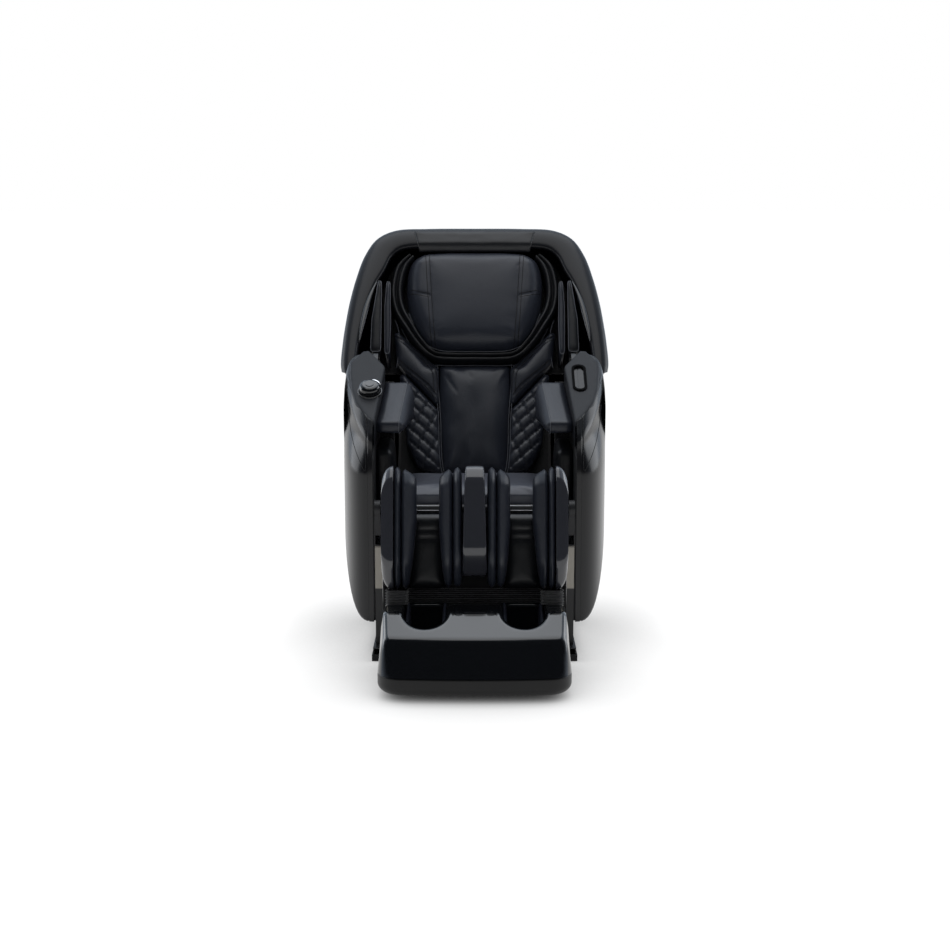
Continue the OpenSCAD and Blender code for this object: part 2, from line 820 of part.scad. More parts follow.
function cover_outline() = rounded(concat(
    [[back_half, 36, 50], [back_half, wing_u(1) - 4, 0]],
    hood_half(1, 0.93, 0), other_half(hood_half(1, 0.93, 0)),
    [[-back_half, wing_u(1) - 4, 0], [-back_half, 36, 50]]
), 4);

// Rear shell: a dished back with walls that run forward between the side shells
module back_cover() {
    wall = 6;
    o = cover_outline();
    c = middle(o);
    outer = [for (k = [0 : 4])
        [for (p = drawn_in(o, 46 * (1 - cos(22.5 * k)), c)) [p.x, back_depth - 46 * (1 - sin(22.5 * k)), p.y]]];
    inner = [for (k = [4 : -1 : 0])
        [for (p = drawn_in(o, wall + 44 * (1 - cos(22.5 * k)), c)) [p.x, back_depth - wall - 44 * (1 - sin(22.5 * k)), p.y]]];
    color(satin_black) in_back() {
        skin(concat(
            inner,
            [[for (p = drawn_in(o, wall, c)) [p.x, -hood_back, p.y]], [for (p = o) [p.x, -hood_back, p.y]]],
            outer));
        pair() box([back_half - 4, back_half - 1], [-board_v + board_t + 1, -hood_back + 5], [90, panel_arc + 7]);
    }
}

module back_pad() {
    color(leather_black) in_back() puff(
        rounded([[-94, 32, 10], [94, 32, 10], [109, 260, 90], [109, 396, 8], [-109, 396, 8], [-109, 260, 90]]),
        board_v, pad_v, 20, 4);
}

module quilt_pad() {
    puff(rounded([[97, 34, 10], [172, 58, 30], [206, 130, 60], [222, 290, 90], [238, 388, 10], [112, 246, 10]]),
         board_v, pad_v - 4, 16, 4);
}

module quilt_pad_left() { color(leather_black) in_back() mirror([1, 0, 0]) quilt_pad(); }
module quilt_pad_right() { color(leather_black) in_back() quilt_pad(); }

module shoulder_bands() {
    color(leather_black) in_back() pair() puff(
        rounded([[111.5, 254, 6], [242, 400, 10], [256, 528, 10], [150, 388, 10], [111.5, 382, 8]]),
        board_v, pad_v + 4, 12, 3);
}

// Padded band that runs round the pillow on the way to the crown
collar_path = rounded([[184, 772, 0], [237, 724, 45], [249, 597, 70], [130, 413, 60],
                       [-130, 413, 60], [-249, 597, 70], [-237, 724, 45], [-184, 772, 0]], 4);
module neck_collar() {
    n = len(collar_path);
    color(leather_black) in_back() skin([
        for (i = [0 : n - 1])
            let (
                p = collar_path[i],
                d = unit(collar_path[min(i + 1, n - 1)] - collar_path[max(i - 1, 0)]),
                side = [d.y, -d.x],
                half = lerp(13, 22, min(1, max(0, (p.y - 420) / 160))) * lerp(1, 0.55, max(0, (p.y - 722) / 50)),
                mid = (collar_v + board_v) / 2,
                rise = (collar_v - board_v) / 2
            )
            [
                for (c = [[-1, -1], [1, -1], [1, 0.45], [0.72, 0.86], [0, 1], [-0.72, 0.86], [-1, 0.45]])
                    let (q = p + side * half * c.x) [q.x, -(mid + rise * c.y), q.y]
            ]
    ]);
}

module head_pillow() {
    color(leather_black) in_back() puff(
        rounded([[-110, 437, 40], [110, 437, 40], [212, 588, 70], [208, 704, 60], [168, 772, 50],
                 [-168, 772, 50], [-208, 704, 60], [-212, 588, 70]]),
        board_v, pillow_v, 44, 5);
}

// Cheek between the shoulder bands and the hood's inner face
module shoulder_pad() {
    low = 270;
    w = hood_w - rim_t - 36 - low;
    r = min(12, w * 0.25);
    puff(rounded([[low, 398, r], [low + w, 398, r], [low + w - w * 12 / 52, 600, 60], [low + w * 20 / 52, 650, r], [low + w * 2 / 52, 640, r]]),
         board_v, 168, min(14, w * 0.28), 3);
}

module shoulder_pad_left() { color(leather_black) in_back() mirror([1, 0, 0]) shoulder_pad(); }
module shoulder_pad_right() { color(leather_black) in_back() shoulder_pad(); }

// ---- Massage carriage ----
module massage_carriage() {
    color(steel) in_back() {
        box([-guide_x + 0.5, guide_x - 0.5], [46, 54], [carriage_u - 80, carriage_u + 80]);
        pair() {
            box([guide_x - 22, guide_x - 0.5], [14, 46], [carriage_u - 80, carriage_u + 80]);
            difference() {
                slab_x([104, 116], rounded([[46, carriage_u - 34, 0], [46, carriage_u + 34, 0], [-2, carriage_u + 18, 12], [-2, carriage_u - 18, 12]]));
                rod_x([100, 120], -arm_axle_v, carriage_u, arm_axle_r);
            }
        }
        rod_x([-116, 116], -arm_axle_v, carriage_u, arm_axle_r);
        for (x = [-20, 20])
            translate([x, 54, carriage_u - 60]) cylinder(h = 120, r = 18);
    }
}

module roller_arm() {
    in_back() difference() {
        union() {
            slab_x([arm_x, arm_x + arm_t], rounded([
                [-roller_v - 13, carriage_u - roller_reach - 13, 12], [-roller_v + 13, carriage_u - roller_reach - 13, 12],
                [-arm_axle_v + 16, carriage_u, 10],
                [-roller_v + 13, carriage_u + roller_reach + 13, 12], [-roller_v - 13, carriage_u + roller_reach + 13, 12],
                [-arm_axle_v - 16, carriage_u, 10]
            ]));
            for (u = [-1, 1])
                rod_x([arm_x, arm_x + arm_t + roller_w + 4], -roller_v, carriage_u + u * roller_reach, roller_pin_r);
        }
        rod_x([arm_x - 1, arm_x + arm_t + 1], -arm_axle_v, carriage_u, arm_axle_r + fit);
    }
}

module roller_arm_left() { color(steel) mirror([1, 0, 0]) roller_arm(); }
module roller_arm_right() { color(steel) roller_arm(); }

module roller(s, u) {
    x = arm_x + arm_t + 1;
    color(rubber_black) on_side(s) in_back() difference() {
        translate([x, -roller_v, carriage_u + u * roller_reach]) rotate([0, 90, 0]) rotate_extrude()
            polygon(concat([[0, 0]], [for (a = [-60 : 20 : 60]) [roller_r - 10 + 10 * cos(a), roller_w / 2 + roller_w / 1.75 * sin(a)]], [[0, roller_w]]));
        rod_x([x - 1, x + roller_w + 1], -roller_v, carriage_u + u * roller_reach, roller_pin_r + fit);
    }
}

module roller_upper_left() { roller(-1, 1); }
module roller_upper_right() { roller(1, 1); }
module roller_lower_left() { roller(-1, -1); }
module roller_lower_right() { roller(1, -1); }

// ---- Calf unit ----
// Side view of a calf wall: its upper part stays clear of the seat when the unit is lifted
function wall_profile(front, top, bottom, back) = [
    [-back, -bottom, 6], [-back, -22, 0], [-58, 12, 6], [-58, top - 20, 20],
    [-front + 34, top, 34], [-front, top - 46, 34], [-front, -bottom + 70, 60], [-front + 40, -bottom, 30]
];

module calf_frame() {
    color(satin_black) in_leg() difference() {
        union() {
            pair() {
                rod_x([boss_in, boss_in + 22], 0, 0, 24);
                slab_x([boss_in, boss_in + 19], rounded([[-22, 8, 0], [-28, -leg_bottom + 8, 6], [-shell_back, -leg_bottom + 8, 6], [16, 8, 0]]));
                box([channel_out + 4, boss_in], [-shell_front, -shell_back], [-leg_bottom, -34]);
            }
            box([-channel_out - 4, channel_out + 4], [8, -shell_back], [-leg_bottom, -34]);
            slab_x([-channel_in + 1, channel_in - 1], [[-20, -188], [-20, -34], [8, -34], [8, -188]]);
        }
        rod_x([-boss_in - 29, boss_in + 29], 0, 0, shaft_r + fit);
        for (x = [-slide_x, slide_x])
            translate([x, -slide_n, 0]) {
                translate([0, 0, -leg_bottom - 1]) cylinder(h = leg_bottom - 30, r = rod_r + fit);
                translate([0, 0, -110]) cylinder(h = 90, r = rod_r + 4);
            }
    }
}

module calf_cover() {
    p = rounded(wall_profile(leg_front, leg_top, leg_bottom, shell_front), 4);
    in_leg() hull() {
        slab_x([cover_in, leg_half - 14], p);
        slab_x([leg_half - 0.5, leg_half], drawn_in(p, 12, middle(p)));
    }
}

module calf_cover_left() { color(gloss_black) mirror([1, 0, 0]) calf_cover(); }
module calf_cover_right() { color(gloss_black) calf_cover(); }

module calf_divider() {
    p = rounded(wall_profile(leg_front, leg_top, 188, 20), 4);
    color(gloss_black) in_leg() difference() {
        slab_x([-divider_w, divider_w], p);
        slab_x([-divider_w + 4, divider_w - 4], rounded([[-20, -180, 0], [-20, -26, 0], [-62, 14, 0], [-62, leg_top - 24, 0], [-110, leg_top - 10, 10], [-leg_front + 5, leg_top - 50, 30], [-leg_front + 5, -120, 40], [-100, -180, 20]]));
    }
}

// Upright cushion slab between x[0] and x[1] with rounded edges
module rib(x, c) {
    o = rounded(c, 3);
    m = middle(o);
    r = 6;
    skin([
        for (k = [[x[0], r], [x[0] + r, 0], [x[1] - r, 0], [x[1], r]])
            [for (p = drawn_in(o, k[1], m)) [k[0], p.x, p.y]]
    ]);
}

module calf_pads() {
    color(leather_black) in_leg() pair() {
        rib([rib_split, cover_in - 0.2], wall_profile(leg_front - 3, leg_top - 3, leg_bottom - 2, shell_front));
        rib([channel_out, rib_split - seam], wall_profile(leg_front - 8, leg_top - 8, leg_bottom - 2, shell_front));
        rib([59.5, channel_in - 1], wall_profile(leg_front - 8, leg_top - 8, leg_bottom - 6, 20.3));
        rib([divider_w + 0.3, 59.2], wall_profile(leg_front - 3, leg_top - 3, leg_bottom - 6, 20.3));
        puff(rounded([[channel_in, -leg_bottom + 2, 12], [channel_out - 0.5, -leg_bottom + 2, 12],
                      [channel_out - 0.5, -shaft_r - 4, 16], [channel_in, -shaft_r - 4, 16]]), -8, 42, 16);
    }
}

// Pleated sleeves round the slide rods, between the calf unit and the foot unit
sleeve_in = slide_x - 17;
sleeve_out = slide_x + 38;
sleeve_top = -leg_bottom - seam;
sleeve_low = -262;
sleeve_folds = 3;
fold_depth = 5;
function sleeve(d, z) = [
    for (p = rounded([[sleeve_in + d, -126 + d, 10], [sleeve_out - d, -126 + d, 20],
                      [sleeve_out - d, 8 - d, 14], [sleeve_in + d, 8 - d, 10]], 2)) [p.x, p.y, z]
];
module leg_bellows() {
    h = (sleeve_top - sleeve_low) / sleeve_folds / 2;
    color(leather_black) in_leg() pair() difference() {
        skin([for (k = [0 : 2 * sleeve_folds]) sleeve(k % 2 * fold_depth, sleeve_low + k * h)]);
        translate([0, 0, sleeve_low - 1]) linear_extrude(sleeve_top - sleeve_low + 2)
            polygon([for (p = sleeve(fold_depth + 1.5, 0)) [p.x, p.y]]);
    }
}

// ---- Foot unit ----
function foot_plan(d) = rounded([[-foot_half + d, foot_front + d, 60 - d], [foot_half - d, foot_front + d, 60 - d],
                                 [foot_half - d, foot_back - d, 20 - d], [-foot_half + d, foot_back - d, 20 - d]], 6);
// Side view of the foot unit's cover: its rear top is square to the calf unit
function on_leg_plane(n, z) = [leg_y + z * sin(leg_tilt) - n * cos(leg_tilt), leg_z + z * cos(leg_tilt) + n * sin(leg_tilt)];
function cover_side(d) =
    let (a = on_leg_plane(-30, sleeve_low - seam), b = on_leg_plane(126, sleeve_low - seam))
    rounded([[foot_back + 30, foot_seam - 1, 0], [a.x, a.y - d, 0], [b.x, b.y - d, 30], [-540, 206 - d, 40],
             [-640 + d * 0.4, 158 - d, 26], [-686, foot_seam + 20, 0], [foot_front - 10, foot_seam - 1, 0]]);

module foot_prism(d, z) {
    translate([0, 0, z[0]]) linear_extrude(z[1] - z[0]) polygon(foot_plan(d));
}

module well(d, z) {
    translate([0, 0, z]) linear_extrude(200)
        polygon(rounded([[well_x - well_half - d, -628 - d, 40], [well_x + well_half + d, -628 - d, 40],
                         [well_x + well_half + d, -364 + d, 30], [well_x - well_half - d, -364 + d, 30]]));
}

module slide_boss(r, z) {
    in_leg() translate([slide_x, -slide_n, z[0]]) cylinder(h = z[1] - z[0], r = r);
}

module foot_cover() {
    color(gloss_black) difference() {
        intersection() {
            foot_prism(0, [foot_seam, 300]);
            slab_x([-300, 300], cover_side(0));
        }
        difference() {
            intersection() {
                foot_prism(6, [foot_seam - 5, 300]);
                slab_x([-300, 300], cover_side(6));
            }
            pair() well(5, sole_z - 5);
            pair() slide_boss(18, [-330, -255]);
        }
        pair() well(0, sole_z);
        pair() translate([well_x, -900, 240]) rotate([-90, 0, 0]) cylinder(h = 460, r = 63);
        pair() slide_boss(rod_r + fit, [-340, -250]);
    }
}

module slide_rods() {
    color(steel) pair() slide_boss(rod_r, [-328, -22]);
}

module skirt_form(d) {
    intersection() {
        foot_prism(d, [foot_low + d, foot_seam + (d > 0 ? 10 : 0)]);
        slab_y([foot_front - 5, foot_back + 5], rounded([[-foot_half + d, foot_low + d, 26], [foot_half - d, foot_low + d, 26], [foot_half - d, 100, 0], [-foot_half + d, 100, 0]]));
        slab_x([-300, 300], rounded([[foot_front + d, foot_low + d, 24], [foot_back - d, foot_low + d, 16], [foot_back - d, 100, 0], [foot_front + d, 100, 0]]));
    }
}

module foot_skirt() {
    color(satin_black) {
        difference() {
            skirt_form(0);
            skirt_form(7);
        }
        for (x = [-foot_half + 50, 0, foot_half - 50])
            difference() {
                box([x - 6, x + 6], [foot_roller_y - 14, foot_roller_y + 14], [foot_low + 6, foot_roller_z + 14]);
                rod_x([x - 8, x + 8], foot_roller_y, foot_roller_z, pin_r + fit);
            }
    }
}

module foot_rollers() {
    lobes = 5;
    color(rubber_black) {
        rod_x([-foot_half + 42, foot_half - 42], foot_roller_y, foot_roller_z, pin_r);
        for (x = [-well_x - 40, -well_x, -well_x + 40, well_x - 52, well_x - 12, well_x + 28]) {
            rod_x([x, x + 12], foot_roller_y, foot_roller_z, 15);
            for (k = [1 : lobes])
                rod_x([x, x + 12], foot_roller_y + 14 * cos(360 * k / lobes), foot_roller_z + 14 * sin(360 * k / lobes), 5);
        }
    }
}

module foot_pads() {
    color(leather_black) pair() {
        translate([0, 0, 0]) puff_up(rounded([[well_x - well_half + 1, -626, 36], [well_x + well_half - 1, -626, 36],
                          [well_x + well_half - 1, -366, 28], [well_x - well_half + 1, -366, 28]], 4), sole_z, sole_z + 12, 6, 2);
        for (x = [[well_x - well_half + 0.3, well_x - well_half + 14], [well_x + well_half - 14, well_x + well_half - 0.3]])
            slab_x(x, rounded([[-590, sole_z + 12.3, 10], [-390, sole_z + 12.3, 10], [-400, 168, 24], [-580, 168, 30]]));
    }
}

module seat_apron() {
    color(leather_black) box([-228, 228], [seat_front - 3.2, seat_front], [member_z + 6, cushion_top - 12]);
}

floor_frame();
rail_feet();
tilt_shaft();
power_box();
power_inlet();
power_switch();
air_pump();
tilt_actuator();
tilt_rod();
wheel_left();
wheel_right();
seat_frame();
seat_cushion();
side_panel_left();
side_panel_right();
inner_liners();
armrest_left();
armrest_right();
forearm_pads();
lower_arm_pads();
back_shaft();
leg_shaft();
dial_bezel();
dial();
dial_button();
phone_pocket();
recline_actuator();
recline_rod();
leg_motor();
back_frame();
back_board();
back_cover();
hood();
back_pad();
quilt_pad_left();
quilt_pad_right();
shoulder_bands();
neck_collar();
head_pillow();
shoulder_pad_left();
shoulder_pad_right();
massage_carriage();
roller_arm_left();
roller_arm_right();
roller_upper_left();
roller_upper_right();
roller_lower_left();
roller_lower_right();
calf_frame();
calf_cover_left();
calf_cover_right();
calf_divider();
calf_pads();
leg_bellows();
slide_rods();
foot_cover();
foot_skirt();
foot_pads();
foot_rollers();
seat_apron();
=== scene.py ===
import json
from math import acos, ceil, cos, pi, radians, sin, sqrt, tan
import bpy
import bmesh
import numpy as np
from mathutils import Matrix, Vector, noise
from mathutils.bvhtree import BVHTree
from mathutils.geometry import delaunay_2d_cdt


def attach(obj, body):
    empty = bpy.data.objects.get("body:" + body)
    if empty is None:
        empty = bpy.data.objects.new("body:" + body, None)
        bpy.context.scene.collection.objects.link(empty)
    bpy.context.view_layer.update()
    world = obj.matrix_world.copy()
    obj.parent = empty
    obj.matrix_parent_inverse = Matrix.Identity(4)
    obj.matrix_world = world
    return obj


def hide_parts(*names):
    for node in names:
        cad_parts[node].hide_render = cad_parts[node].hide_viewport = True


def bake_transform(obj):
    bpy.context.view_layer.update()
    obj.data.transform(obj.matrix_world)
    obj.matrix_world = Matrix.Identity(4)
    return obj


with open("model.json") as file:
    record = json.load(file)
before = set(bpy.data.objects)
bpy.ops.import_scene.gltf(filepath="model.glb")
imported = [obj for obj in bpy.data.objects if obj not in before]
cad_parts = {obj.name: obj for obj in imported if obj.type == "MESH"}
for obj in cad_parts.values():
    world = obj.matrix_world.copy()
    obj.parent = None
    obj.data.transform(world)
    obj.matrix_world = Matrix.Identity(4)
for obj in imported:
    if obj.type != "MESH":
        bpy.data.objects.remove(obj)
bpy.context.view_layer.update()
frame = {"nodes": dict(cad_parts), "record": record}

scene = bpy.context.scene
print("frame loaded:", len(frame["nodes"]), "nodes")

# sizes are in millimetres; a plane turns points (across, up, out) into metres in the chair's frame
def plane(origin, across, up, out):
    base, axes = np.array(origin, float), np.array([across, up, out], float)
    return lambda points: (base + np.asarray(points, float) @ axes) * 0.001

lean, hang, armSlope = radians(30), radians(12), radians(29.6)
backPlane = plane((0, 150, 400), (1, 0, 0), (0, sin(lean), cos(lean)), (0, -cos(lean), sin(lean)))
legPlane = plane((0, -280, 435), (1, 0, 0), (0, sin(hang), cos(hang)), (0, -cos(hang), sin(hang)))
armPlane = plane((0, -200, 674), (1, 0, 0), (0, cos(armSlope), sin(armSlope)),
                 (0, -sin(armSlope), cos(armSlope)))
floorPlane = plane((0, 0, 0), (1, 0, 0), (0, 1, 0), (0, 0, 1))
frontPlane = plane((0, 0, 0), (1, 0, 0), (0, 0, 1), (0, -1, 0))

# ---- outlines ----
def unit(v):
    return v / np.linalg.norm(v)

def rounded(corners, steps=10):
    corners, points = np.array(corners, float), []
    for i, (x, y, r) in enumerate(corners):
        here = np.array([x, y])
        if r <= 0:
            points.append(here)
            continue
        before, after = unit(corners[i - 1, :2] - here), unit(corners[(i + 1) % len(corners), :2] - here)
        half = acos(max(-1, min(1, before @ after))) / 2
        middle = here + unit(before + after) * r / sin(half)
        start = here + before * r / tan(half) - middle
        turn = -np.sign(before[0] * after[1] - before[1] * after[0]) * (pi - 2 * half)
        for k in range(steps + 1):
            c, s = cos(turn * k / steps), sin(turn * k / steps)
            points.append(middle + [start[0] * c - start[1] * s, start[0] * s + start[1] * c])
    return np.array(points)

def smooth(knots, closed=True, steps=12):
    # an even curve through a few points
    knots = np.asarray(knots, float)
    if closed:
        ring = np.vstack([knots[-1:], knots, knots[:2]])
    else:
        ring = np.vstack([2 * knots[:1] - knots[1:2], knots, 2 * knots[-1:] - knots[-2:-1]])
    points = []
    for a, b, c, d in zip(ring, ring[1:], ring[2:], ring[3:]):
        gaps = [max(1e-6, np.linalg.norm(q - p)) ** 0.5 for p, q in ((a, b), (b, c), (c, d))]
        t0, t1 = 0.0, gaps[0]
        t2, t3 = t1 + gaps[1], t1 + gaps[1] + gaps[2]
        for t in np.linspace(t1, t2, steps, endpoint=False):
            ab = (a * (t1 - t) + b * (t - t0)) / (t1 - t0)
            bc = (b * (t2 - t) + c * (t - t1)) / (t2 - t1)
            cd = (c * (t3 - t) + d * (t - t2)) / (t3 - t2)
            abc = (ab * (t2 - t) + bc * (t - t0)) / (t2 - t0)
            bcd = (bc * (t3 - t) + cd * (t - t1)) / (t3 - t1)
            points.append((abc * (t2 - t) + bcd * (t - t1)) / (t2 - t1))
    return np.array(points if closed else points + [knots[-1]])

def mirrorKnots(knots):
    # knots from the low end to the middle of the top, then the same on the other side
    return knots + [(-x, u) for x, u in reversed(knots[:-1] if knots[-1][0] == 0 else knots)]

def spaced(line, step, closed=True):
    line = np.asarray(line, float)
    if closed:
        line = np.vstack([line, line[:1]])
    along = np.concatenate([[0], np.cumsum(np.linalg.norm(np.diff(line, axis=0), axis=1))])
    count = max(3, round(along[-1] / step))
    at = np.linspace(0, along[-1], count + 1)[:-1 if closed else None]
    return np.stack([np.interp(at, along, line[:, k]) for k in range(line.shape[1])], 1)

def divided(loops, step):
    # the same extra points in each loop, so that the loops still match
    middle = loops[len(loops) // 2]
    counts = [max(1, ceil(np.linalg.norm(b - a) / step)) for a, b in zip(middle, np.roll(middle, -1, 0))]
    return [np.vstack([np.linspace(a, b, n, endpoint=False) for a, b,
                       n in zip(loop, np.roll(loop, -1, 0), counts)]) for loop in loops]

def outwards(loop):
    ahead, behind = np.roll(loop, -1, 0), np.roll(loop, 1, 0)
    tangent = ahead - behind
    length = np.maximum(np.linalg.norm(tangent, axis=1), 1e-9)
    normal = np.stack([tangent[:, 1], -tangent[:, 0]], 1) / length[:, None]
    area = np.sum(loop[:, 0] * ahead[:, 1] - ahead[:, 0] * loop[:, 1])
    return normal * np.sign(area)

def drawnIn(loop, d):
    middle = (loop.max(0) + loop.min(0)) / 2
    away = loop - middle
    return middle + away * (1 - d / np.linalg.norm(away, axis=1))[:, None]

def distance(points, line, closed=False):
    a = line if closed else line[:-1]
    d = (np.roll(line, -1, 0) if closed else line[1:]) - a
    best = np.full(len(points), 1e9)
    for i in range(0, len(points), 2000):
        p = points[i:i + 2000, None, :] - a
        t = np.clip((p * d).sum(2) / np.maximum((d * d).sum(1), 1e-9), 0, 1)
        best[i:i + 2000] = np.linalg.norm(p - t[..., None] * d, axis=2).min(1)
    return best

def inside(points, loop):
    x, y = points[:, 0], points[:, 1]
    odd = np.zeros(len(points), bool)
    for (ax, ay), (bx, by) in zip(loop, np.roll(loop, -1, 0)):
        crosses = ((ay > y) != (by > y)) & (x < (bx - ax) * (y - ay) / (by - ay + 1e-12) + ax)
        odd ^= crosses
    return odd

def filled(rim, step, lines=(), bands=(), holes=()):
    # triangles inside a rim: its own points first, then seam lines, rings near the rim and an even grid
    low, high = rim.min(0), rim.max(0)
    rows = np.arange(low[1], high[1], step * 0.866)
    grid = np.array([[x + (j % 2) * step / 2, y] for j,
                     y in enumerate(rows) for x in np.arange(low[0], high[0] + step, step)])
    normal = outwards(rim)
    for d in bands:
        ring = rim - normal * d
        ring = ring[(distance(ring, rim, True) > d * 0.97) & inside(ring, rim)]
        near = distance(grid, rim, True)
        grid = np.vstack([grid[(near > max(bands) + step * 0.5)],
                          ring]) if d == bands[0] else np.vstack([grid, ring])
    keep = inside(grid, rim) & (distance(grid, rim, True) > (min(bands) * 0.6 if len(bands) else step * 0.45))
    grid = grid[keep]
    for line in list(lines) + list(holes):
        closed = any(line is h for h in holes)
        grid = grid[distance(grid, line, closed) > step * 0.45]
    points, walls, edges = [*rim], [(i, (i + 1) % len(rim)) for i in range(len(rim))], []
    for hole in holes:
        walls += [(len(points) + i, len(points) + (i + 1) % len(hole)) for i in range(len(hole))]
        points += [*hole]
    for line in lines:
        edges += [(len(points) + i, len(points) + i + 1) for i in range(len(line) - 1)]
        points += [*line]
    points += [*grid]
    out, _, faces, came, _, _ = delaunay_2d_cdt([Vector(p) for p in points], walls + edges, [], 0, 1e-5, True)
    out = np.array([tuple(p) for p in out])
    order = {}
    for i, sources in enumerate(came):
        for s in sources:
            order[s] = i
    faces = np.array([list(f) for f in faces])
    sides = {}
    for k, f in enumerate(faces.tolist()):
        for i in range(3):
            sides.setdefault(frozenset((f[i], f[i - 1])), []).append(k)
    for i, j in walls:
        sides.pop(frozenset((order[i], order[j])), None)
    # from the largest triangle inside the rim to every one that it reaches
    u, v = out[faces[:, 1]] - out[faces[:, 0]], out[faces[:, 2]] - out[faces[:, 0]]
    size, centre = np.abs(u[:, 0] * v[:, 1] - u[:, 1] * v[:, 0]), out[faces].mean(1)
    size[~inside(centre, rim)] = 0
    for hole in holes:
        size[inside(centre, hole)] = 0
    reached = {int(size.argmax())}
    ahead = list(reached)
    while ahead:
        f = faces[ahead.pop()]
        for i in range(3):
            for k in sides.get(frozenset((int(f[i]), int(f[i - 1]))), ()):
                if k not in reached:
                    reached.add(k)
                    ahead.append(k)
    faces = faces[sorted(reached)]
    return out, faces, np.array([order[i] for i in range(len(rim))])

# ---- meshes ----
def meshPiece(name, points, faces, material, sharp=None, tidy=True):
    mesh = bpy.data.meshes.new(name)
    mesh.from_pydata([tuple(map(float, p)) for p in points], [], [tuple(map(int, f)) for f in faces])
    if tidy:
        body = bmesh.new()
        body.from_mesh(mesh)
        bmesh.ops.remove_doubles(body, verts=body.verts, dist=1e-6)
        bmesh.ops.recalc_face_normals(body, faces=body.faces)
        body.to_mesh(mesh)
        body.free()
    mesh.shade_smooth()
    if sharp:
        mesh.set_sharp_from_angle(angle=radians(sharp))
    mesh.materials.append(material)
    piece = bpy.data.objects.new(name, mesh)
    scene.collection.objects.link(piece)
    return piece

def loftFaces(rings, count, around=True, start=0, join=False):
    last = count if around else count - 1
    rows = rings if join else rings - 1
    return [(start + r * count + i, start + r * count + (i + 1) % count,
             start + (r + 1) % rings * count + (i + 1) % count, start + (r + 1) % rings * count + i)
            for r in range(rows) for i in range(last)]

def endCaps(rings, count):
    return [tuple(range(count)), tuple(range((rings - 1) * count, rings * count))]

def tube(path, radius, sides=8, closed=False):
    # points and faces of a round cord along a path, closed at its ends
    path = np.asarray(path, float)
    ahead = np.roll(path, -1, 0) if closed else np.vstack([path[1:], path[-1:] * 2 - path[-2:-1]])
    behind = np.roll(path, 1, 0) if closed else np.vstack([path[:1] * 2 - path[1:2], path[:-1]])
    tangents = ahead - behind
    tangents /= np.linalg.norm(tangents, axis=1)[:, None]
    side = np.cross(tangents[0], [0.3, 0.2, 0.93])
    points = []
    for p, t in zip(path, tangents):
        side = side - t * (side @ t)
        side /= np.linalg.norm(side)
        other = np.cross(t, side)
        points += [p + radius * (side * cos(a) + other * sin(a))
                   for a in np.linspace(0, 2 * pi, sides, endpoint=False)]
    faces = loftFaces(len(path), sides, join=closed)
    if not closed:
        faces += endCaps(len(path), sides)
    return points, faces

def doubledSheet(name, at, rows, columns, place, material):
    # a grid and the same grid behind it, closed round their edges; place takes layer, row and column
    points = [place(layer, r, c) for layer in (0, 1) for r in range(rows + 1) for c in range(columns + 1)]
    size, wide, faces = len(points) // 2, columns + 1, []
    for r in range(rows):
        for c in range(columns):
            a = r * wide + c
            faces += [(a, a + 1, a + wide + 1, a + wide),
                      (size + a, size + a + wide, size + a + wide + 1, size + a + 1)]
    rim = [*range(columns)] + [r * wide + columns for r in range(rows)]
    rim += [rows * wide + c for c in range(columns, 0, -1)] + [r * wide for r in range(rows, 0, -1)]
    faces += [(a, b, b + size, a + size) for a, b in zip(rim, rim[1:] + rim[:1])]
    return meshPiece(name, at(points), faces, material)

def joined(parts):
    points, faces = [], []
    for p, f in parts:
        faces += [tuple(i + len(points) for i in face) for face in f]
        points += [*p]
    return points, faces

def mirrored(piece, name):
    mesh = piece.data.copy()
    mesh.name = name
    flat = np.zeros(len(mesh.vertices) * 3)
    mesh.vertices.foreach_get("co", flat)
    flat[0::3] *= -1
    mesh.vertices.foreach_set("co", flat)
    mesh.flip_normals()
    mesh.update()
    other = bpy.data.objects.new(name, mesh)
    scene.collection.objects.link(other)
    return other

def carried(piece, body, nodes=()):
    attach(piece, body)
    if nodes:
        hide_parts(*nodes)
    return piece

def capped(points, loop, start, step, place):
    # closes a loop of a shell: the faces, and the points with those that lie inside the loop
    flat, triangles, order = filled(loop, step)
    new = sorted(set(range(len(flat))) - set(order.tolist()))
    extra = {i: len(points) + k for k, i in enumerate(new)}
    if extra:
        near = distance(flat, loop, True)
        points = np.vstack([points, *[place(flat[i], near[i]) for i in extra]])
    match = {**{int(o): start + k for k, o in enumerate(order)}, **extra}
    return points, [tuple(match[i] for i in f) for f in triangles.tolist()]

def bothSides(piece, name, body, nodes):
    # the mirror image on the left and the piece itself on the right
    carried(mirrored(piece, name), body, nodes[:1])
    carried(piece, body, nodes[-1:])

# ---- finishes ----
def newMaterial(name, color, roughness, **sockets):
    material = bpy.data.materials.new(name)
    material.use_nodes = True
    nodes, links = material.node_tree.nodes, material.node_tree.links
    shader = nodes["Principled BSDF"]
    shader.inputs["Base Color"].default_value = (*color, 1)
    shader.inputs["Roughness"].default_value = roughness
    for socket, value in sockets.items():
        shader.inputs[socket.replace("_", " ")].default_value = value
    return material, nodes, links, shader

def made(nodes, *kinds):
    return [nodes.new(kind) for kind in kinds]

def wired(links, *pairs):
    for source, target in pairs:
        links.new(source, target)

def objectPlace(nodes, links, scale=(1, 1, 1)):
    place, mapping = nodes.new("ShaderNodeTexCoord"), nodes.new("ShaderNodeMapping")
    mapping.inputs["Scale"].default_value = scale
    links.new(place.outputs["Object"], mapping.inputs["Vector"])
    return mapping.outputs["Vector"]

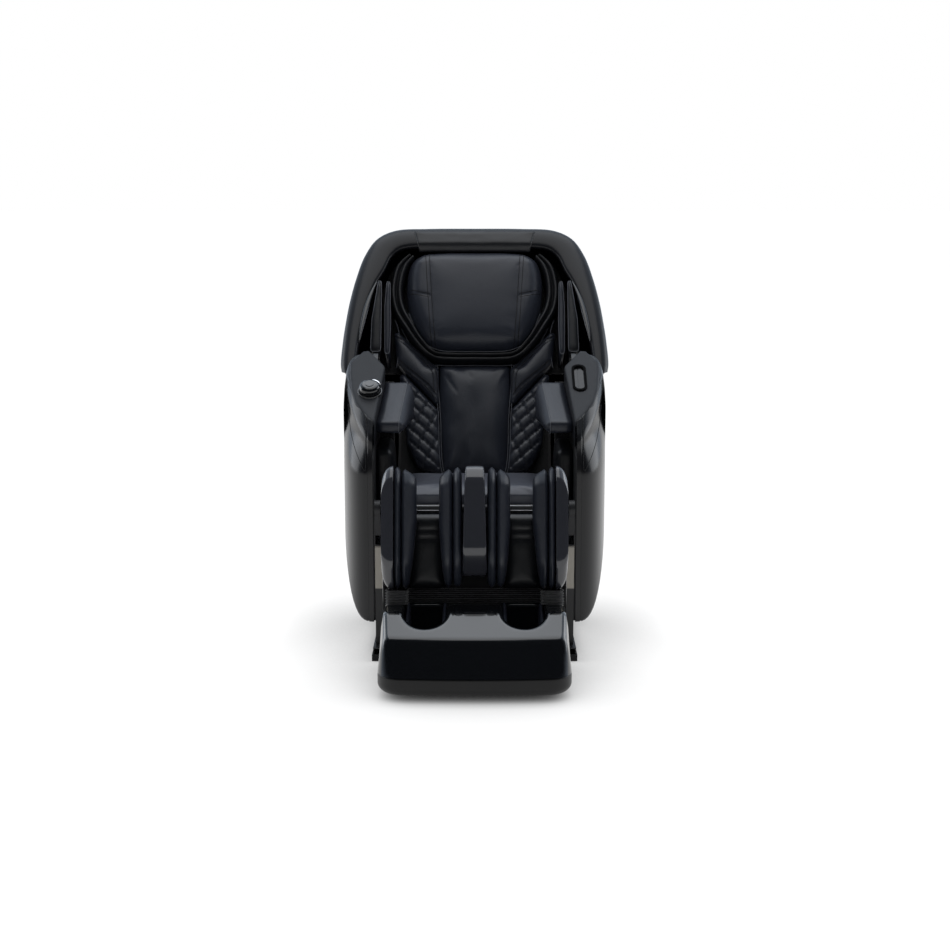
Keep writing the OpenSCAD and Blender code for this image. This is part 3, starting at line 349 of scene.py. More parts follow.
def texture(nodes, links, place, kind, scale, **settings):
    node = nodes.new(kind)
    links.new(place, node.inputs["Vector"])
    node.inputs["Scale"].default_value = scale
    for key, value in settings.items():
        if key in node.inputs:
            node.inputs[key].default_value = value
        else:
            setattr(node, key, value)
    return node

def spread(nodes, links, source, low, high):
    ramp = nodes.new("ShaderNodeMapRange")
    ramp.inputs["To Min"].default_value, ramp.inputs["To Max"].default_value = low, high
    links.new(source, ramp.inputs["Value"])
    return ramp.outputs["Result"]

def tinted(nodes, links, source, low, high):
    mix = nodes.new("ShaderNodeMix")
    mix.data_type = "RGBA"
    mix.inputs["A"].default_value, mix.inputs["B"].default_value = (*low, 1), (*high, 1)
    links.new(source, mix.inputs["Factor"])
    return mix.outputs["Result"]

def bumped(nodes, links, shader, heights):
    last = None
    for source, strength, depth in heights:
        bump = nodes.new("ShaderNodeBump")
        bump.inputs["Strength"].default_value, bump.inputs["Distance"].default_value = strength, depth
        links.new(source, bump.inputs["Height"])
        if last:
            links.new(last, bump.inputs["Normal"])
        last = bump.outputs["Normal"]
    links.new(last, shader.inputs["Normal"])

def leather(name, dark, light, rough=(0.36, 0.5), grain=0.35):
    material, nodes, links, shader = newMaterial(name, dark, 0.4, Specular_IOR_Level=0.4, Coat_Weight=0.06,
                                                 Coat_Roughness=0.3)
    place = objectPlace(nodes, links)
    pebble = texture(nodes, links, place, "ShaderNodeTexVoronoi", 420, feature="SMOOTH_F1", Smoothness=0.6)
    crease = texture(nodes, links, place, "ShaderNodeTexNoise", 55, Detail=5, Roughness=0.6)
    wear = texture(nodes, links, place, "ShaderNodeTexNoise", 7, Detail=3)
    links.new(tinted(nodes, links, wear.outputs["Fac"], dark, light), shader.inputs["Base Color"])
    links.new(spread(nodes, links, crease.outputs["Fac"], *rough), shader.inputs["Roughness"])
    bumped(nodes, links, shader,
           [(crease.outputs["Fac"], 0.25, 0.0012), (pebble.outputs["Distance"], grain, 0.0004)])
    return material

def shell(name, color, rough, coat=0.0, peel=0.04, specular=0.5):
    material, nodes, links, shader = newMaterial(name, color, rough[0], Coat_Weight=coat, Coat_Roughness=0.04,
                                                 Specular_IOR_Level=specular)
    place = objectPlace(nodes, links)
    fine = texture(nodes, links, place, "ShaderNodeTexNoise", 160, Detail=2)
    broad = texture(nodes, links, place, "ShaderNodeTexNoise", 3, Detail=2)
    links.new(spread(nodes, links, broad.outputs["Fac"], *rough), shader.inputs["Roughness"])
    links.new(tinted(nodes, links, broad.outputs["Fac"], color, tuple(c * 1.25 for c in color)),
              shader.inputs["Base Color"])
    bumped(nodes, links, shader, [(fine.outputs["Fac"], peel, 0.0003)])
    return material

def speckled(name, color, rough, scale, depth, strength=0.5, metallic=0.0, specular=0.4):
    material, nodes, links, shader = newMaterial(name, color, rough, Metallic=metallic,
                                                 Specular_IOR_Level=specular)
    place = objectPlace(nodes, links)
    grain = texture(nodes, links, place, "ShaderNodeTexNoise", scale, Detail=3)
    broad = texture(nodes, links, place, "ShaderNodeTexNoise", 12, Detail=3)
    links.new(tinted(nodes, links, broad.outputs["Fac"], tuple(c * 0.85 for c in color),
                     tuple(min(1, c * 1.15) for c in color)), shader.inputs["Base Color"])
    links.new(spread(nodes, links, grain.outputs["Fac"], rough * 0.85, min(1, rough * 1.15)),
              shader.inputs["Roughness"])
    bumped(nodes, links, shader, [(grain.outputs["Fac"], strength, depth)])
    return material

def woven(name, color, pitch):
    material, nodes, links, shader = newMaterial(name, color, 0.85, Sheen_Weight=0.3, Sheen_Roughness=0.5)
    place = objectPlace(nodes, links)
    across = texture(nodes, links, place, "ShaderNodeTexWave", pitch, bands_direction="X", Distortion=1.2)
    upward = texture(nodes, links, place, "ShaderNodeTexWave", pitch, bands_direction="Z", Distortion=1.2)
    broad = texture(nodes, links, place, "ShaderNodeTexNoise", 20, Detail=3)
    links.new(tinted(nodes, links, broad.outputs["Fac"], tuple(c * 0.7 for c in color),
                     tuple(c * 1.4 for c in color)), shader.inputs["Base Color"])
    bumped(nodes, links, shader, [(across.outputs["Fac"], 0.4, 0.0006), (upward.outputs["Fac"], 0.4, 0.0006)])
    return material

def twoTone(name, above, below, height, rough):
    # near black below a height and pale enamel above it
    material, nodes, links, shader = newMaterial(name, above, rough)
    place = objectPlace(nodes, links)
    apart, step = nodes.new("ShaderNodeSeparateXYZ"), nodes.new("ShaderNodeMapRange")
    links.new(place, apart.inputs[0])
    links.new(apart.outputs["Z"], step.inputs["Value"])
    step.inputs["From Min"].default_value = height - 0.002
    step.inputs["From Max"].default_value = height + 0.002
    grain = texture(nodes, links, place, "ShaderNodeTexNoise", 180, Detail=3)
    links.new(tinted(nodes, links, step.outputs["Result"], below, above), shader.inputs["Base Color"])
    bumped(nodes, links, shader, [(grain.outputs["Fac"], 0.3, 0.0002)])
    return material

finishes = {
    "leather": leather("blackLeather", (0.012, 0.0145, 0.022), (0.020, 0.0235, 0.034), rough=(0.34, 0.46)),
    "pillowLeather": leather("pillowLeather", (0.013, 0.0155, 0.024), (0.021, 0.025, 0.036),
                             rough=(0.36, 0.46)),
    # painted light: a lighter copy of the black leather for the seat and its apron, standing in for the light
    # the seat catches from above
    "seatLeatherPaintedLight": leather("seatLeatherPaintedLight", (0.055, 0.060, 0.078), (0.078, 0.085, 0.108), rough=(0.34, 0.44)),
    # painted shade: a much darker copy of the black leather, for pads that sit in recesses and shade
    # (shoulder pads, collar, lower arm pads, calf and sole pads, crown flap)
    "leatherPaintedShade": leather("leatherPaintedShade", (0.0045, 0.005, 0.0065), (0.008, 0.009, 0.0115),
                           rough=(0.36, 0.46)),
    # real piping cords, in a leather made much lighter than the black leather: a painted highlight along the
    # pads' edges
    "piping": leather("pipingLeatherPaintedHighlight", (0.06, 0.063, 0.074), (0.09, 0.095, 0.11), rough=(0.3, 0.4),
                      grain=0.15),
    "thread": speckled("stitchThread", (0.006, 0.006, 0.008), 0.7, 900, 0.0003),
    "satin": shell("satinShell", (0.0055, 0.0055, 0.0065), (0.20, 0.26), peel=0.03, specular=0.34),
    "hood": shell("hoodShell", (0.007, 0.0075, 0.0095), (0.26, 0.32), peel=0.04, specular=0.26),
    "gloss": shell("glossShell", (0.0035, 0.004, 0.005), (0.10, 0.15), coat=0.35, peel=0.01, specular=0.5),
    # painted reflection: a lighter copy of the gloss shell for the calf covers and divider, standing in for
    # the light they reflect
    "calfGlossPaintedReflection": shell("calfShellPaintedReflection", (0.026, 0.027, 0.033), (0.14, 0.2), coat=0.4, peel=0.01),
    "skirt": shell("skirtShell", (0.004, 0.004, 0.004), (0.34, 0.42), peel=0.05, specular=0.3),
    "trim": shell("trimShell", (0.008, 0.009, 0.011), (0.14, 0.2), coat=0.4),
    "plate": speckled("armrestPlate", (0.010, 0.0115, 0.015), 0.5, 700, 0.0005, 0.6, specular=0.28),
    "framePaint": twoTone("framePaint", (0.52, 0.48, 0.41), (0.012, 0.012, 0.013), 0.2, 0.42),
    "steel": speckled("brightSteel", (0.52, 0.53, 0.55), 0.3, 240, 0.0001, 0.2, 1.0),
    "darkSteel": speckled("darkSteel", (0.02, 0.02, 0.022), 0.45, 240, 0.0002, 0.3),
    "rubber": speckled("blackRubber", (0.010, 0.010, 0.011), 0.75, 300, 0.0004),
    # painted shade: the phone pocket's inside is near black and barely reflects, for the shade inside the
    # pocket
    "hole": speckled("pocketPaintedShade", (0.0015, 0.0015, 0.0018), 0.9, 300, 0.0004, specular=0.1),
    "chrome": speckled("brightChrome", (0.75, 0.76, 0.78), 0.12, 60, 0.00005, 0.1, 1.0),
    "cloth": woven("sleeveCloth", (0.007, 0.007, 0.008), 900),
}
slotFinish = {"painted_steel": "framePaint", "foot_rubber": "rubber", "bright_steel": "steel",
              "roller_rubber": "rubber",
              "satin_plastic": "satin", "shell_plastic": "satin", "gloss_plastic": "gloss",
              "bright_chrome": "chrome",
              "black_leather": "leather", "sleeve_cloth": "cloth"}
nodeSlot = {part["node"]: part["material_slot"] for part in frame["record"]["subparts"]}
# phone_pocket takes the near-black finish that paints the shade inside it
nodeFinish = {"leg_shaft": "darkSteel", "calf_frame": "rubber", "back_board": "rubber",
              "inner_liners": "rubber", "seat_frame": "darkSteel", "back_frame": "darkSteel",
              "dial_button": "trim", "phone_pocket": "hole", "slide_rods": "darkSteel"}
for name, node in frame["nodes"].items():
    node.data.materials.clear()
    node.data.materials.append(finishes[nodeFinish.get(name, slotFinish[nodeSlot[name]])])
print("finishes made:", len(finishes))

# ---- padded pieces ----
waiting = []

def wrinkled(points, sizes):
    # soft folds: noise stretched along the way the leather pulls
    height = np.zeros(len(points))
    for depth, across, along, seed in sizes:
        for i, (x, y) in enumerate(points):
            n = noise.noise((x / across, y / along, seed))
            height[i] += depth * (n + 0.35
                                  * (1 - abs(noise.noise((x / across * 0.6, y / along * 0.6, seed + 9))) * 3))
    return height

def settled(points, height, faces, held, rounds):
    # takes the creases out of a surface, keeps its slopes and leaves its rim
    count, sources, ends, weights = len(height), [], [], []
    for k in range(3):
        a, b, c = faces[:, k], faces[:, (k + 1) % 3], faces[:, (k + 2) % 3]
        u, v = points[b] - points[a], points[c] - points[a]
        w = np.clip((u * v).sum(1) / np.maximum(np.abs(u[:, 0] * v[:, 1] - u[:, 1] * v[:, 0]), 1e-6), 0.0,
                    10.0)
        sources, ends, weights = sources + [b, c], ends + [c, b], weights + [w, w]
    sources, ends, weights = np.concatenate(sources), np.concatenate(ends), np.concatenate(weights)
    total = np.maximum(np.bincount(sources, weights=weights, minlength=count), 1e-6)
    free = np.ones(count, bool)
    free[list(held)] = False
    for _ in range(rounds):
        even = np.bincount(sources, weights=weights * height[ends], minlength=count) / total
        height = np.where(free, height * 0.4 + even * 0.6, height)
    return height

def makePad(name, at, sizes, material):
    rim = spaced(smooth(sizes["knots"]) if "knots" in sizes else rounded(sizes["corners"]), sizes["step"])
    edge, front, back = sizes["edge"], sizes["front"], sizes["back"]
    seams = []
    for path, depth, width in sizes.get("seams", []):
        line = spaced(path, sizes["step"], closed=False)
        line = line[inside(line, rim) & (distance(line, rim, True) > 3)]
        if len(line) > 1:
            seams.append((line, depth, width))
    bands = [edge * (1 - cos(radians(a))) for a in (22, 42, 62, 80)]
    bands = [d for d in bands if d > 0.5]
    points, faces, rimAt = filled(rim, sizes["step"], [s[0] for s in seams], bands)
    near = distance(points, rim, True)
    height = front - edge + np.sqrt(np.maximum(edge ** 2 - (edge - np.minimum(near, edge)) ** 2, 0))
    height += sizes.get("crown", 0) * (1 - np.exp(-(near / sizes.get("reach", 60)) ** 2))
    held = set(rimAt.tolist())
    height = settled(points, height, faces, held, sizes.get("settle", 8))
    if "tilt" in sizes:
        height += sizes["tilt"](points)
    fade = np.clip(near / (edge * 0.8), 0, 1)
    for path, depth, width in seams:
        off = distance(points, path)
        height -= depth * np.exp(-(off / width) ** 2) * fade
        held |= set(np.nonzero(off < 0.4)[0].tolist())
    if "folds" in sizes:
        height += wrinkled(points, sizes["folds"]) * np.clip(near / 25, 0, 1)
    top = np.column_stack([points, height])
    if sizes.get("both"):
        swell = sizes["swell"](points) * (1 - np.exp(-(near / 16) ** 2)) if "swell" in sizes else 0.0
        rest = np.column_stack([points, 2 * (front - edge) - height + np.minimum(swell, 0)])
        top[:, 2] += np.maximum(swell, 0)
        bottomFaces = faces[:, ::-1] + len(top)
        allPoints, allFaces = np.vstack([top, rest]), [*faces.tolist(), *bottomFaces.tolist()]
        allFaces += [(int(a), int(b), int(b) + len(top), int(a) + len(top)) for a,
                     b in zip(rimAt, np.roll(rimAt, -1))]
        allPoints[len(top):][rimAt, 2] -= 0.01
        held |= set((rimAt + len(top)).tolist())
    else:
        wall = front - edge - back
        rings, normal = [], outwards(rim)
        for share in (0.35, 0.7, 1.0):
            bulge = sizes.get("bulge", 2) * sin(pi * share) - 1.5 * share
            rings.append(np.column_stack([rim + normal * bulge,
                                          np.full(len(rim), front - edge - wall * share)]))
        allPoints = np.vstack([top, *rings])
        allFaces = faces.tolist()
        loops = [rimAt] + [np.arange(len(rim)) + len(top) + k * len(rim) for k in range(3)]
        for upper, lower in zip(loops, loops[1:]):
            allFaces += [(int(a), int(c), int(d), int(b)) for a, b, c,
                         d in zip(upper, np.roll(upper, -1), lower, np.roll(lower, -1))]
        _, underFaces, underRim = filled(rings[-1][:, :2], 1e6)
        match = {int(u): int(l) for u, l in zip(underRim, loops[-1])}
        allFaces += [tuple(match[i] for i in face) for face in underFaces.tolist()
                     if all(i in match for i in face)]
        held |= set(range(len(top) + len(rim), len(allPoints)))
    piece = meshPiece(name, at(allPoints), allFaces, material, tidy=False)
    body = bmesh.new()
    body.from_mesh(piece.data)
    bmesh.ops.recalc_face_normals(body, faces=body.faces)
    body.to_mesh(piece.data)
    body.free()
    if "pressure" in sizes:
        waiting.append((piece, sorted(held), sizes["pressure"], sizes["cap"]))
    return piece

def inflateAll(frames=20):
    # every cushion swells at once, sewn down along its seams and its back
    before = {}
    for piece, held, pressure, cap in waiting:
        group = piece.vertex_groups.new(name="sewn")
        group.add(held, 1.0, "REPLACE")
        cloth = piece.modifiers.new("filling", "CLOTH")
        cloth.settings.quality = 4
        cloth.settings.mass = 0.3
        cloth.settings.tension_stiffness = cloth.settings.compression_stiffness = 12
        cloth.settings.shear_stiffness = 6
        cloth.settings.bending_stiffness = 0.8
        cloth.settings.vertex_group_mass = "sewn"
        cloth.settings.use_pressure = True
        cloth.settings.uniform_pressure_force = pressure
        cloth.settings.effector_weights.gravity = 0
        cloth.point_cache.frame_start, cloth.point_cache.frame_end = 1, frames
        before[piece.name] = np.array([tuple(v.co) for v in piece.data.vertices])
    for k in range(1, frames + 1):
        scene.frame_set(k)
    graph = bpy.context.evaluated_depsgraph_get()
    for piece, held, pressure, cap in waiting:
        swollen = np.array([tuple(v.co) for v in piece.evaluated_get(graph).data.vertices])
        move = swollen - before[piece.name]
        length = np.maximum(np.linalg.norm(move, axis=1), 1e-9)
        move *= np.minimum(1, cap * 0.001 * np.tanh(length / (cap * 0.001)) / length)[:, None]
        piece.modifiers.clear()
        piece.vertex_groups.clear()
        piece.data.vertices.foreach_set("co", (before[piece.name] + move).ravel())
        piece.data.update()
    scene.frame_set(1)

def lying(piece, at, path, lift=0.5, reach=400):
    # a path (across, up) laid on the front of a piece
    tree = BVHTree.FromPolygons([v.co for v in piece.data.vertices],
                                [p.vertices for p in piece.data.polygons])
    path = np.asarray(path, float)
    start = at(np.column_stack([path, np.full(len(path), reach)]))
    away = at([[0, 0, 0]])[0] - at([[0, 0, 1]])[0]
    away = Vector(away).normalized()
    points = []
    for p in start:
        hit = tree.ray_cast(Vector(p), away)
        if hit[0] is not None:
            points.append(np.array(hit[0] - away * lift * 0.001))
    return np.array(points)

# ---- repeated small parts ----
def nodeTree(name, inputs):
    tree = bpy.data.node_groups.new(name, "GeometryNodeTree")
    tree.interface.new_socket("Geometry", in_out="INPUT", socket_type="NodeSocketGeometry")
    for label, kind, value in inputs:
        socket = tree.interface.new_socket(label, in_out="INPUT", socket_type=kind)
        if value is not None:
            socket.default_value = value
    tree.interface.new_socket("Geometry", in_out="OUTPUT", socket_type="NodeSocketGeometry")
    return tree, tree.nodes.new("NodeGroupInput"), tree.nodes.new("NodeGroupOutput")

def repeating(tree, given, result, points, shape, turn, size):
    # the shape on every point, turned and sized, as real geometry with its finish
    place, solid, finish = made(tree.nodes, "GeometryNodeInstanceOnPoints", "GeometryNodeRealizeInstances",
                                "GeometryNodeSetMaterial")
    wired(tree.links, (points, place.inputs["Points"]), (shape.outputs["Mesh"], place.inputs["Instance"]),
          (turn.outputs[0], place.inputs["Rotation"]), (size, place.inputs["Scale"]),
          (place.outputs[0], solid.inputs[0]),
          (solid.outputs[0], finish.inputs["Geometry"]), (given.outputs["Finish"], finish.inputs["Material"]),
          (finish.outputs[0], result.inputs["Geometry"]))
    return tree

def stitchTree():
    sockets = [("Pitch", "NodeSocketFloat", 0.007), ("Stitch length", "NodeSocketFloat", 0.005),
               ("Thread radius", "NodeSocketFloat", 0.0006), ("Finish", "NodeSocketMaterial", None)]
    tree, given, result = nodeTree("stitchRun", sockets)
    even, tangent, turn = made(tree.nodes, "GeometryNodeResampleCurve", "GeometryNodeInputTangent",
                               "FunctionNodeAlignRotationToVector")
    ball, size, half = made(tree.nodes, "GeometryNodeMeshIcoSphere", "ShaderNodeCombineXYZ", "ShaderNodeMath")
    even.mode = "LENGTH"
    half.operation = "MULTIPLY"
    half.inputs[1].default_value = 0.5
    turn.axis = "X"
    ball.inputs["Radius"].default_value = 1
    ball.inputs["Subdivisions"].default_value = 1
    wired(tree.links, (given.outputs["Geometry"], even.inputs["Curve"]),
          (given.outputs["Pitch"], even.inputs["Length"]),
          (given.outputs["Stitch length"], half.inputs[0]), (half.outputs[0], size.inputs["X"]),
          (given.outputs["Thread radius"], size.inputs["Y"]),
          (given.outputs["Thread radius"], size.inputs["Z"]),
          (tangent.outputs[0], turn.inputs["Vector"]))
    return repeating(tree, given, result, even.outputs[0], ball, turn, size.outputs[0])

def grown(name, source, tree, settings):
    modifier = source.modifiers.new(name, "NODES")
    modifier.node_group = tree
    sockets = {item.name: item.identifier for item in tree.interface.items_tree if item.in_out == "INPUT"}
    for label, value in settings.items():
        modifier[sockets[label]] = value
    bpy.context.view_layer.update()
    mesh = bpy.data.meshes.new_from_object(source.evaluated_get(bpy.context.evaluated_depsgraph_get()))
    mesh.name = name
    bpy.data.objects.remove(source)
    piece = bpy.data.objects.new(name, mesh)
    scene.collection.objects.link(piece)
    mesh.shade_smooth()
    return piece

def curveOf(name, paths):
    curve = bpy.data.curves.new(name, "CURVE")
    curve.dimensions = "3D"
    for path in paths:
        line = curve.splines.new("POLY")
        line.points.add(len(path) - 1)
        for point, p in zip(line.points, path):
            point.co = (*map(float, p), 1)
    piece = bpy.data.objects.new(name, curve)
    scene.collection.objects.link(piece)
    return piece

stitches = {"tree": stitchTree(), "pitch": 0.0075, "length": 0.0055, "radius": 0.0007}

def sewn(name, paths, body):
    piece = grown(name, curveOf(name + "Path", [p for p in paths if len(p) > 1]), stitches["tree"],
                  {"Pitch": stitches["pitch"], "Stitch length": stitches["length"],
                   "Thread radius": stitches["radius"], "Finish": finishes["thread"]})
    return carried(piece, body)

def piped(name, paths, body, radius=1.6, material="piping"):
    parts = [tube(path, radius * 0.001, closed=closed) for path, closed in paths if len(path) > 2]
    return carried(meshPiece(name, *joined(parts), finishes[material]), body)

# ---- camera ----
cameraSizes = {"place": (0, -4.65, 1.325), "pitch": 10.3, "lens": 60.25, "sensor": 36, "shift": 0.0004,
               "far": 200}
camera = bpy.data.objects.new("camera", bpy.data.cameras.new("camera"))
scene.collection.objects.link(camera)
camera.location = cameraSizes["place"]
camera.rotation_euler = (radians(90 - cameraSizes["pitch"]), 0, 0)
camera.data.lens, camera.data.sensor_width = cameraSizes["lens"], cameraSizes["sensor"]
camera.data.shift_x, camera.data.clip_end = cameraSizes["shift"], cameraSizes["far"]
scene.camera = camera
print("camera placed")

# ---- backrest cushions ----
pillowSeams = [([(150, 765), (146, 700), (137, 560), (128, 444)], 2.5, 5),
               ([(202, 626), (170, 613), (141, 606)], 2, 5)]
pillowSizes = {"knots": mirrorKnots([(0, 434), (60, 434), (108, 437), (146, 456), (180, 505), (205, 572),
                                     (213, 640), (210, 700), (196, 742), (166, 765), (110, 773),
                                     (0, 774)])[1:], "back": 30, "front": 128, "edge": 44,
               "crown": 7, "reach": 90, "step": 5.5, "pressure": 3, "cap": 7,
               "seams": [([(side * x, u) for x, u in path], depth, width) for path, depth,
                         width in pillowSeams for side in (1, -1)],
               "folds": [(0.9, 90, 60, 3.1)]}
backPadSizes = {"corners": [(-94, 34, 10), (94, 34, 10), (109, 260, 90), (109, 394, 8), (-109, 394, 8),
                            (-109, 260, 90)], "back": 28.5, "front": 80, "edge": 20,
                "crown": 4, "reach": 50, "step": 6, "pressure": 3, "cap": 7,
                "folds": [(7.0, 44, 150, 1.3), (1.4, 25, 80, 5.2)]}
bandSizes = {"corners": [(111.5, 254, 6), (242, 400, 10), (256, 528, 10), (150, 388, 10), (111.5, 382, 8)],
             "back": 28.5, "front": 84, "edge": 12,
             "crown": 4, "reach": 30, "step": 5.5, "pressure": 2.5, "cap": 5, "folds": [(1.0, 60, 60, 2.2)],
             "seams": [([(249, 486), (224, 470), (174, 428), (145, 398), (126, 365), (120, 300)], 3.5, 4),
                       ([(236, 402), (229, 395), (184, 355), (144, 318), (122, 288)], 3.5, 4)]}

def diamonds(corners, step=(30, 41)):
    # two families of slanted lines inside the pad's outline
    rim = rounded(corners)
    lines = []
    low, high = rim.min(0) - 40, rim.max(0) + 40
    for rise, gap in ((0.93, step[0] * 1.36), (-2.05, step[1] * 2.25)):
        for c in np.arange(low[1] - high[0] * 3, high[1] + high[0] * 3, gap):
            x = np.linspace(low[0], high[0], 700)
            line = np.column_stack([x, rise * x + c])
            ok = inside(line, rim)
            ok[ok] = distance(line[ok], rim, True) > 5
            if ok.sum() > 12:
                lines.append(line[ok])
    return lines

quiltCorners = [(97, 34, 10), (172, 58, 30), (206, 130, 60), (222, 290, 90), (238, 388, 10), (112, 246, 10)]
quiltLines = diamonds(quiltCorners)
quiltSizes = {"corners": quiltCorners, "back": 28.5, "front": 76, "edge": 14, "crown": 3, "reach": 30,
              "step": 5.2, "pressure": 4, "cap": 6,
              "seams": [(line, 5.0, 4.2) for line in quiltLines]}

pillow = makePad("headPillow", backPlane, pillowSizes, finishes["pillowLeather"])
backPad = makePad("backPad", backPlane, backPadSizes, finishes["leather"])
band = makePad("shoulderBandRight", backPlane, bandSizes, finishes["leather"])
quilt = makePad("quiltPadRight", backPlane, quiltSizes, finishes["leather"])

leafSizes = {"back": 28.5, "edge": 7, "crown": 2, "reach": 14, "step": 5.5, "bulge": 0}
outerLeaf = {**leafSizes, "corners": [(288, 398, 8), (319, 398, 8), (317, 505, 30), (304, 600, 20),
                                      (299, 640, 3), (290, 636, 3), (289, 560, 30)], "front": 168}
innerLeaf = {**leafSizes, "corners": [(262, 398, 8), (276, 398, 8), (279, 560, 30), (274, 646, 3),
                                      (264, 642, 3), (260, 500, 40)], "front": 150}
# the outer shoulder pad takes the leather darkened as painted shade
shoulder = makePad("shoulderPadRight", backPlane, outerLeaf, finishes["leatherPaintedShade"])
shoulderInner = makePad("shoulderLeafRight", backPlane, innerLeaf, finishes["leather"])

# padded band round the pillow
collarSizes = {"path": mirrorKnots([(200, 764), (229, 728), (243, 680), (246, 625), (236, 574), (208, 522),
                                    (170, 462), (126, 420), (70, 413), (0, 413)]),
               "front": 103, "back": 29, "half": (13, 21)}

def makeCollar(sizes):
    path = spaced(smooth(sizes["path"], closed=False), 6, closed=False)
    points = []
    section = [(-1, -1), (-1.02, -0.4), (-1, 0.1), (-0.94, 0.42), (-0.8, 0.7), (-0.58, 0.84), (-0.34, 0.84),
               (-0.16, 0.7), (-0.06, 0.5), (0.02, 0.5), (0.12, 0.74), (0.3, 0.94),
               (0.55, 1), (0.78, 0.88), (0.94, 0.55), (1, 0.2), (1.02, -0.4), (1, -1)]
    for i, p in enumerate(path):
        t = unit(path[min(i + 1, len(path) - 1)] - path[max(i - 1, 0)])
        side = np.array([t[1], -t[0]])
        wide = np.interp(p[1], [420, 580], sizes["half"]) * np.interp(p[1], [722, 772], [1, 0.55])
        mid, rise = (sizes["front"] + sizes["back"]) / 2, (sizes["front"] - sizes["back"]) / 2
        puffed = 1 + 0.03 * noise.noise((i * 0.11, 0.3, 0))
        for c, h in section:
            points.append([*(p + side * wide * c * puffed), mid + rise * h])
    count = len(section)
    faces = loftFaces(len(path), count) + endCaps(len(path), count)
    # the collar takes the leather darkened as painted shade
    return meshPiece("neckCollar", backPlane(points), faces, finishes["leatherPaintedShade"])

collar = makeCollar(collarSizes)
print("backrest cushions shaped")

# ---- seat and arm pads ----
seatSizes = {"corners": [(-228, -260, 40), (228, -260, 40), (228, 46, 20), (-228, 46, 20)], "back": 404.5,
             "front": 481, "edge": 34, "crown": 6, "reach": 90,
             "step": 8, "pressure": 3, "cap": 8, "folds": [(2.0, 80, 60, 7.7)]}
# the seat takes the leather lightened as painted light
seatCushion = makePad("seatCushion", floorPlane, seatSizes, finishes["seatLeatherPaintedLight"])

armTurn = np.arctan2(20, 234)
forearmPlane = plane((283.7, -206, 0), (sin(armTurn), -cos(armTurn), 0), (0, 0, 1),
                     (-cos(armTurn), -sin(armTurn), 0))
forearmSizes = {"corners": [(-254, 760, 12), (-254, 630, 14), (-42, 630, 10), (-42, 662, 12)], "back": 0.5,
                "front": 84, "edge": 22, "crown": 3, "reach": 40,
                "step": 6, "pressure": 3, "cap": 5, "bulge": 0, "folds": [(1.0, 50, 40, 4.1)]}
forearm = makePad("forearmPadRight", forearmPlane, forearmSizes, finishes["leather"])
lowerArmPlane = plane((283.7, 0, 0), (0, -1, 0), (0, 0, 1), (-1, 0, 0))
lowerArmSizes = {"corners": [(-48, 586, 10), (-48, 405, 6), (138, 405, 6), (138, 580, 20)], "back": 0.5,
                 "front": 48, "edge": 14, "crown": 3, "reach": 40,
                 "step": 7, "pressure": 2, "cap": 5, "folds": [(1.0, 60, 50, 8.4)]}
# the lower arm pads take the leather darkened as painted shade
lowerArm = makePad("lowerArmPadRight", lowerArmPlane, lowerArmSizes, finishes["leatherPaintedShade"])

# dark cloth that closes the gap behind the arm pads
curtainSizes = {"from": 239, "to": 287, "low": 420, "high": 752, "y": 56, "rows": 40, "columns": 12,
                "thick": 1.2,
                "wave": (1.5, 0.4), "flat": (0.052, 0.333)}

def makeCurtain():
    s = curtainSizes
    xs, zs = np.linspace(s["from"], s["to"], s["columns"] + 1), np.linspace(s["low"], s["high"],
            s["rows"] + 1)
    def place(layer, r, c):
        deep, pitch = s["wave"]
        wave = deep * sin(xs[c] * pitch) + noise.noise((xs[c] * 0.03, zs[r] * 0.02, 2))
        return [xs[c], s["y"] + layer * s["thick"] + wave, zs[r]]
    return doubledSheet("armCurtainRight", floorPlane, s["rows"], s["columns"], place, finishes["cloth"])

curtain = makeCurtain()
for piece in (mirrored(curtain, "armCurtainLeft"), curtain):
    carried(piece, "seat")

# ---- calf and foot pads ----
def wallProfile(front, top, bottom, back):
    return [(-back, -bottom, 6), (-back, -22, 0), (-58, 12, 6), (-58, top - 20, 20), (-front + 34, top, 34),
            (-front, top - 46, 34), (-front, -bottom + 70, 60), (-front + 40, -bottom, 30)]

def sideOf(x):
    return plane((x, -280, 435), (0, cos(hang), -sin(hang)), (0, sin(hang), cos(hang)), (1, 0, 0))

ribs = {"calfRibOuter": (201.5, 221.8, wallProfile(137, 122, 222, 38)),
        "calfRibMiddle": (181, 201.2, wallProfile(132, 117, 222, 38)),
        "calfRibInner": (59.5, 83, wallProfile(132, 117, 218, 20.3)),
        "calfRibDivider": (35.3, 59.2, wallProfile(137, 122, 218, 20.3))}
def bulging(most, way):
    # fullest near the front and the top, flat at the back where the calf pad is
    def swell(p):
        forward, upward = np.clip((-p[:, 0] - 46) / 30, 0, 1), np.clip((p[:, 1] + 222) / 190, 0.12, 1) ** 0.8
        return way * most * forward * upward
    return swell

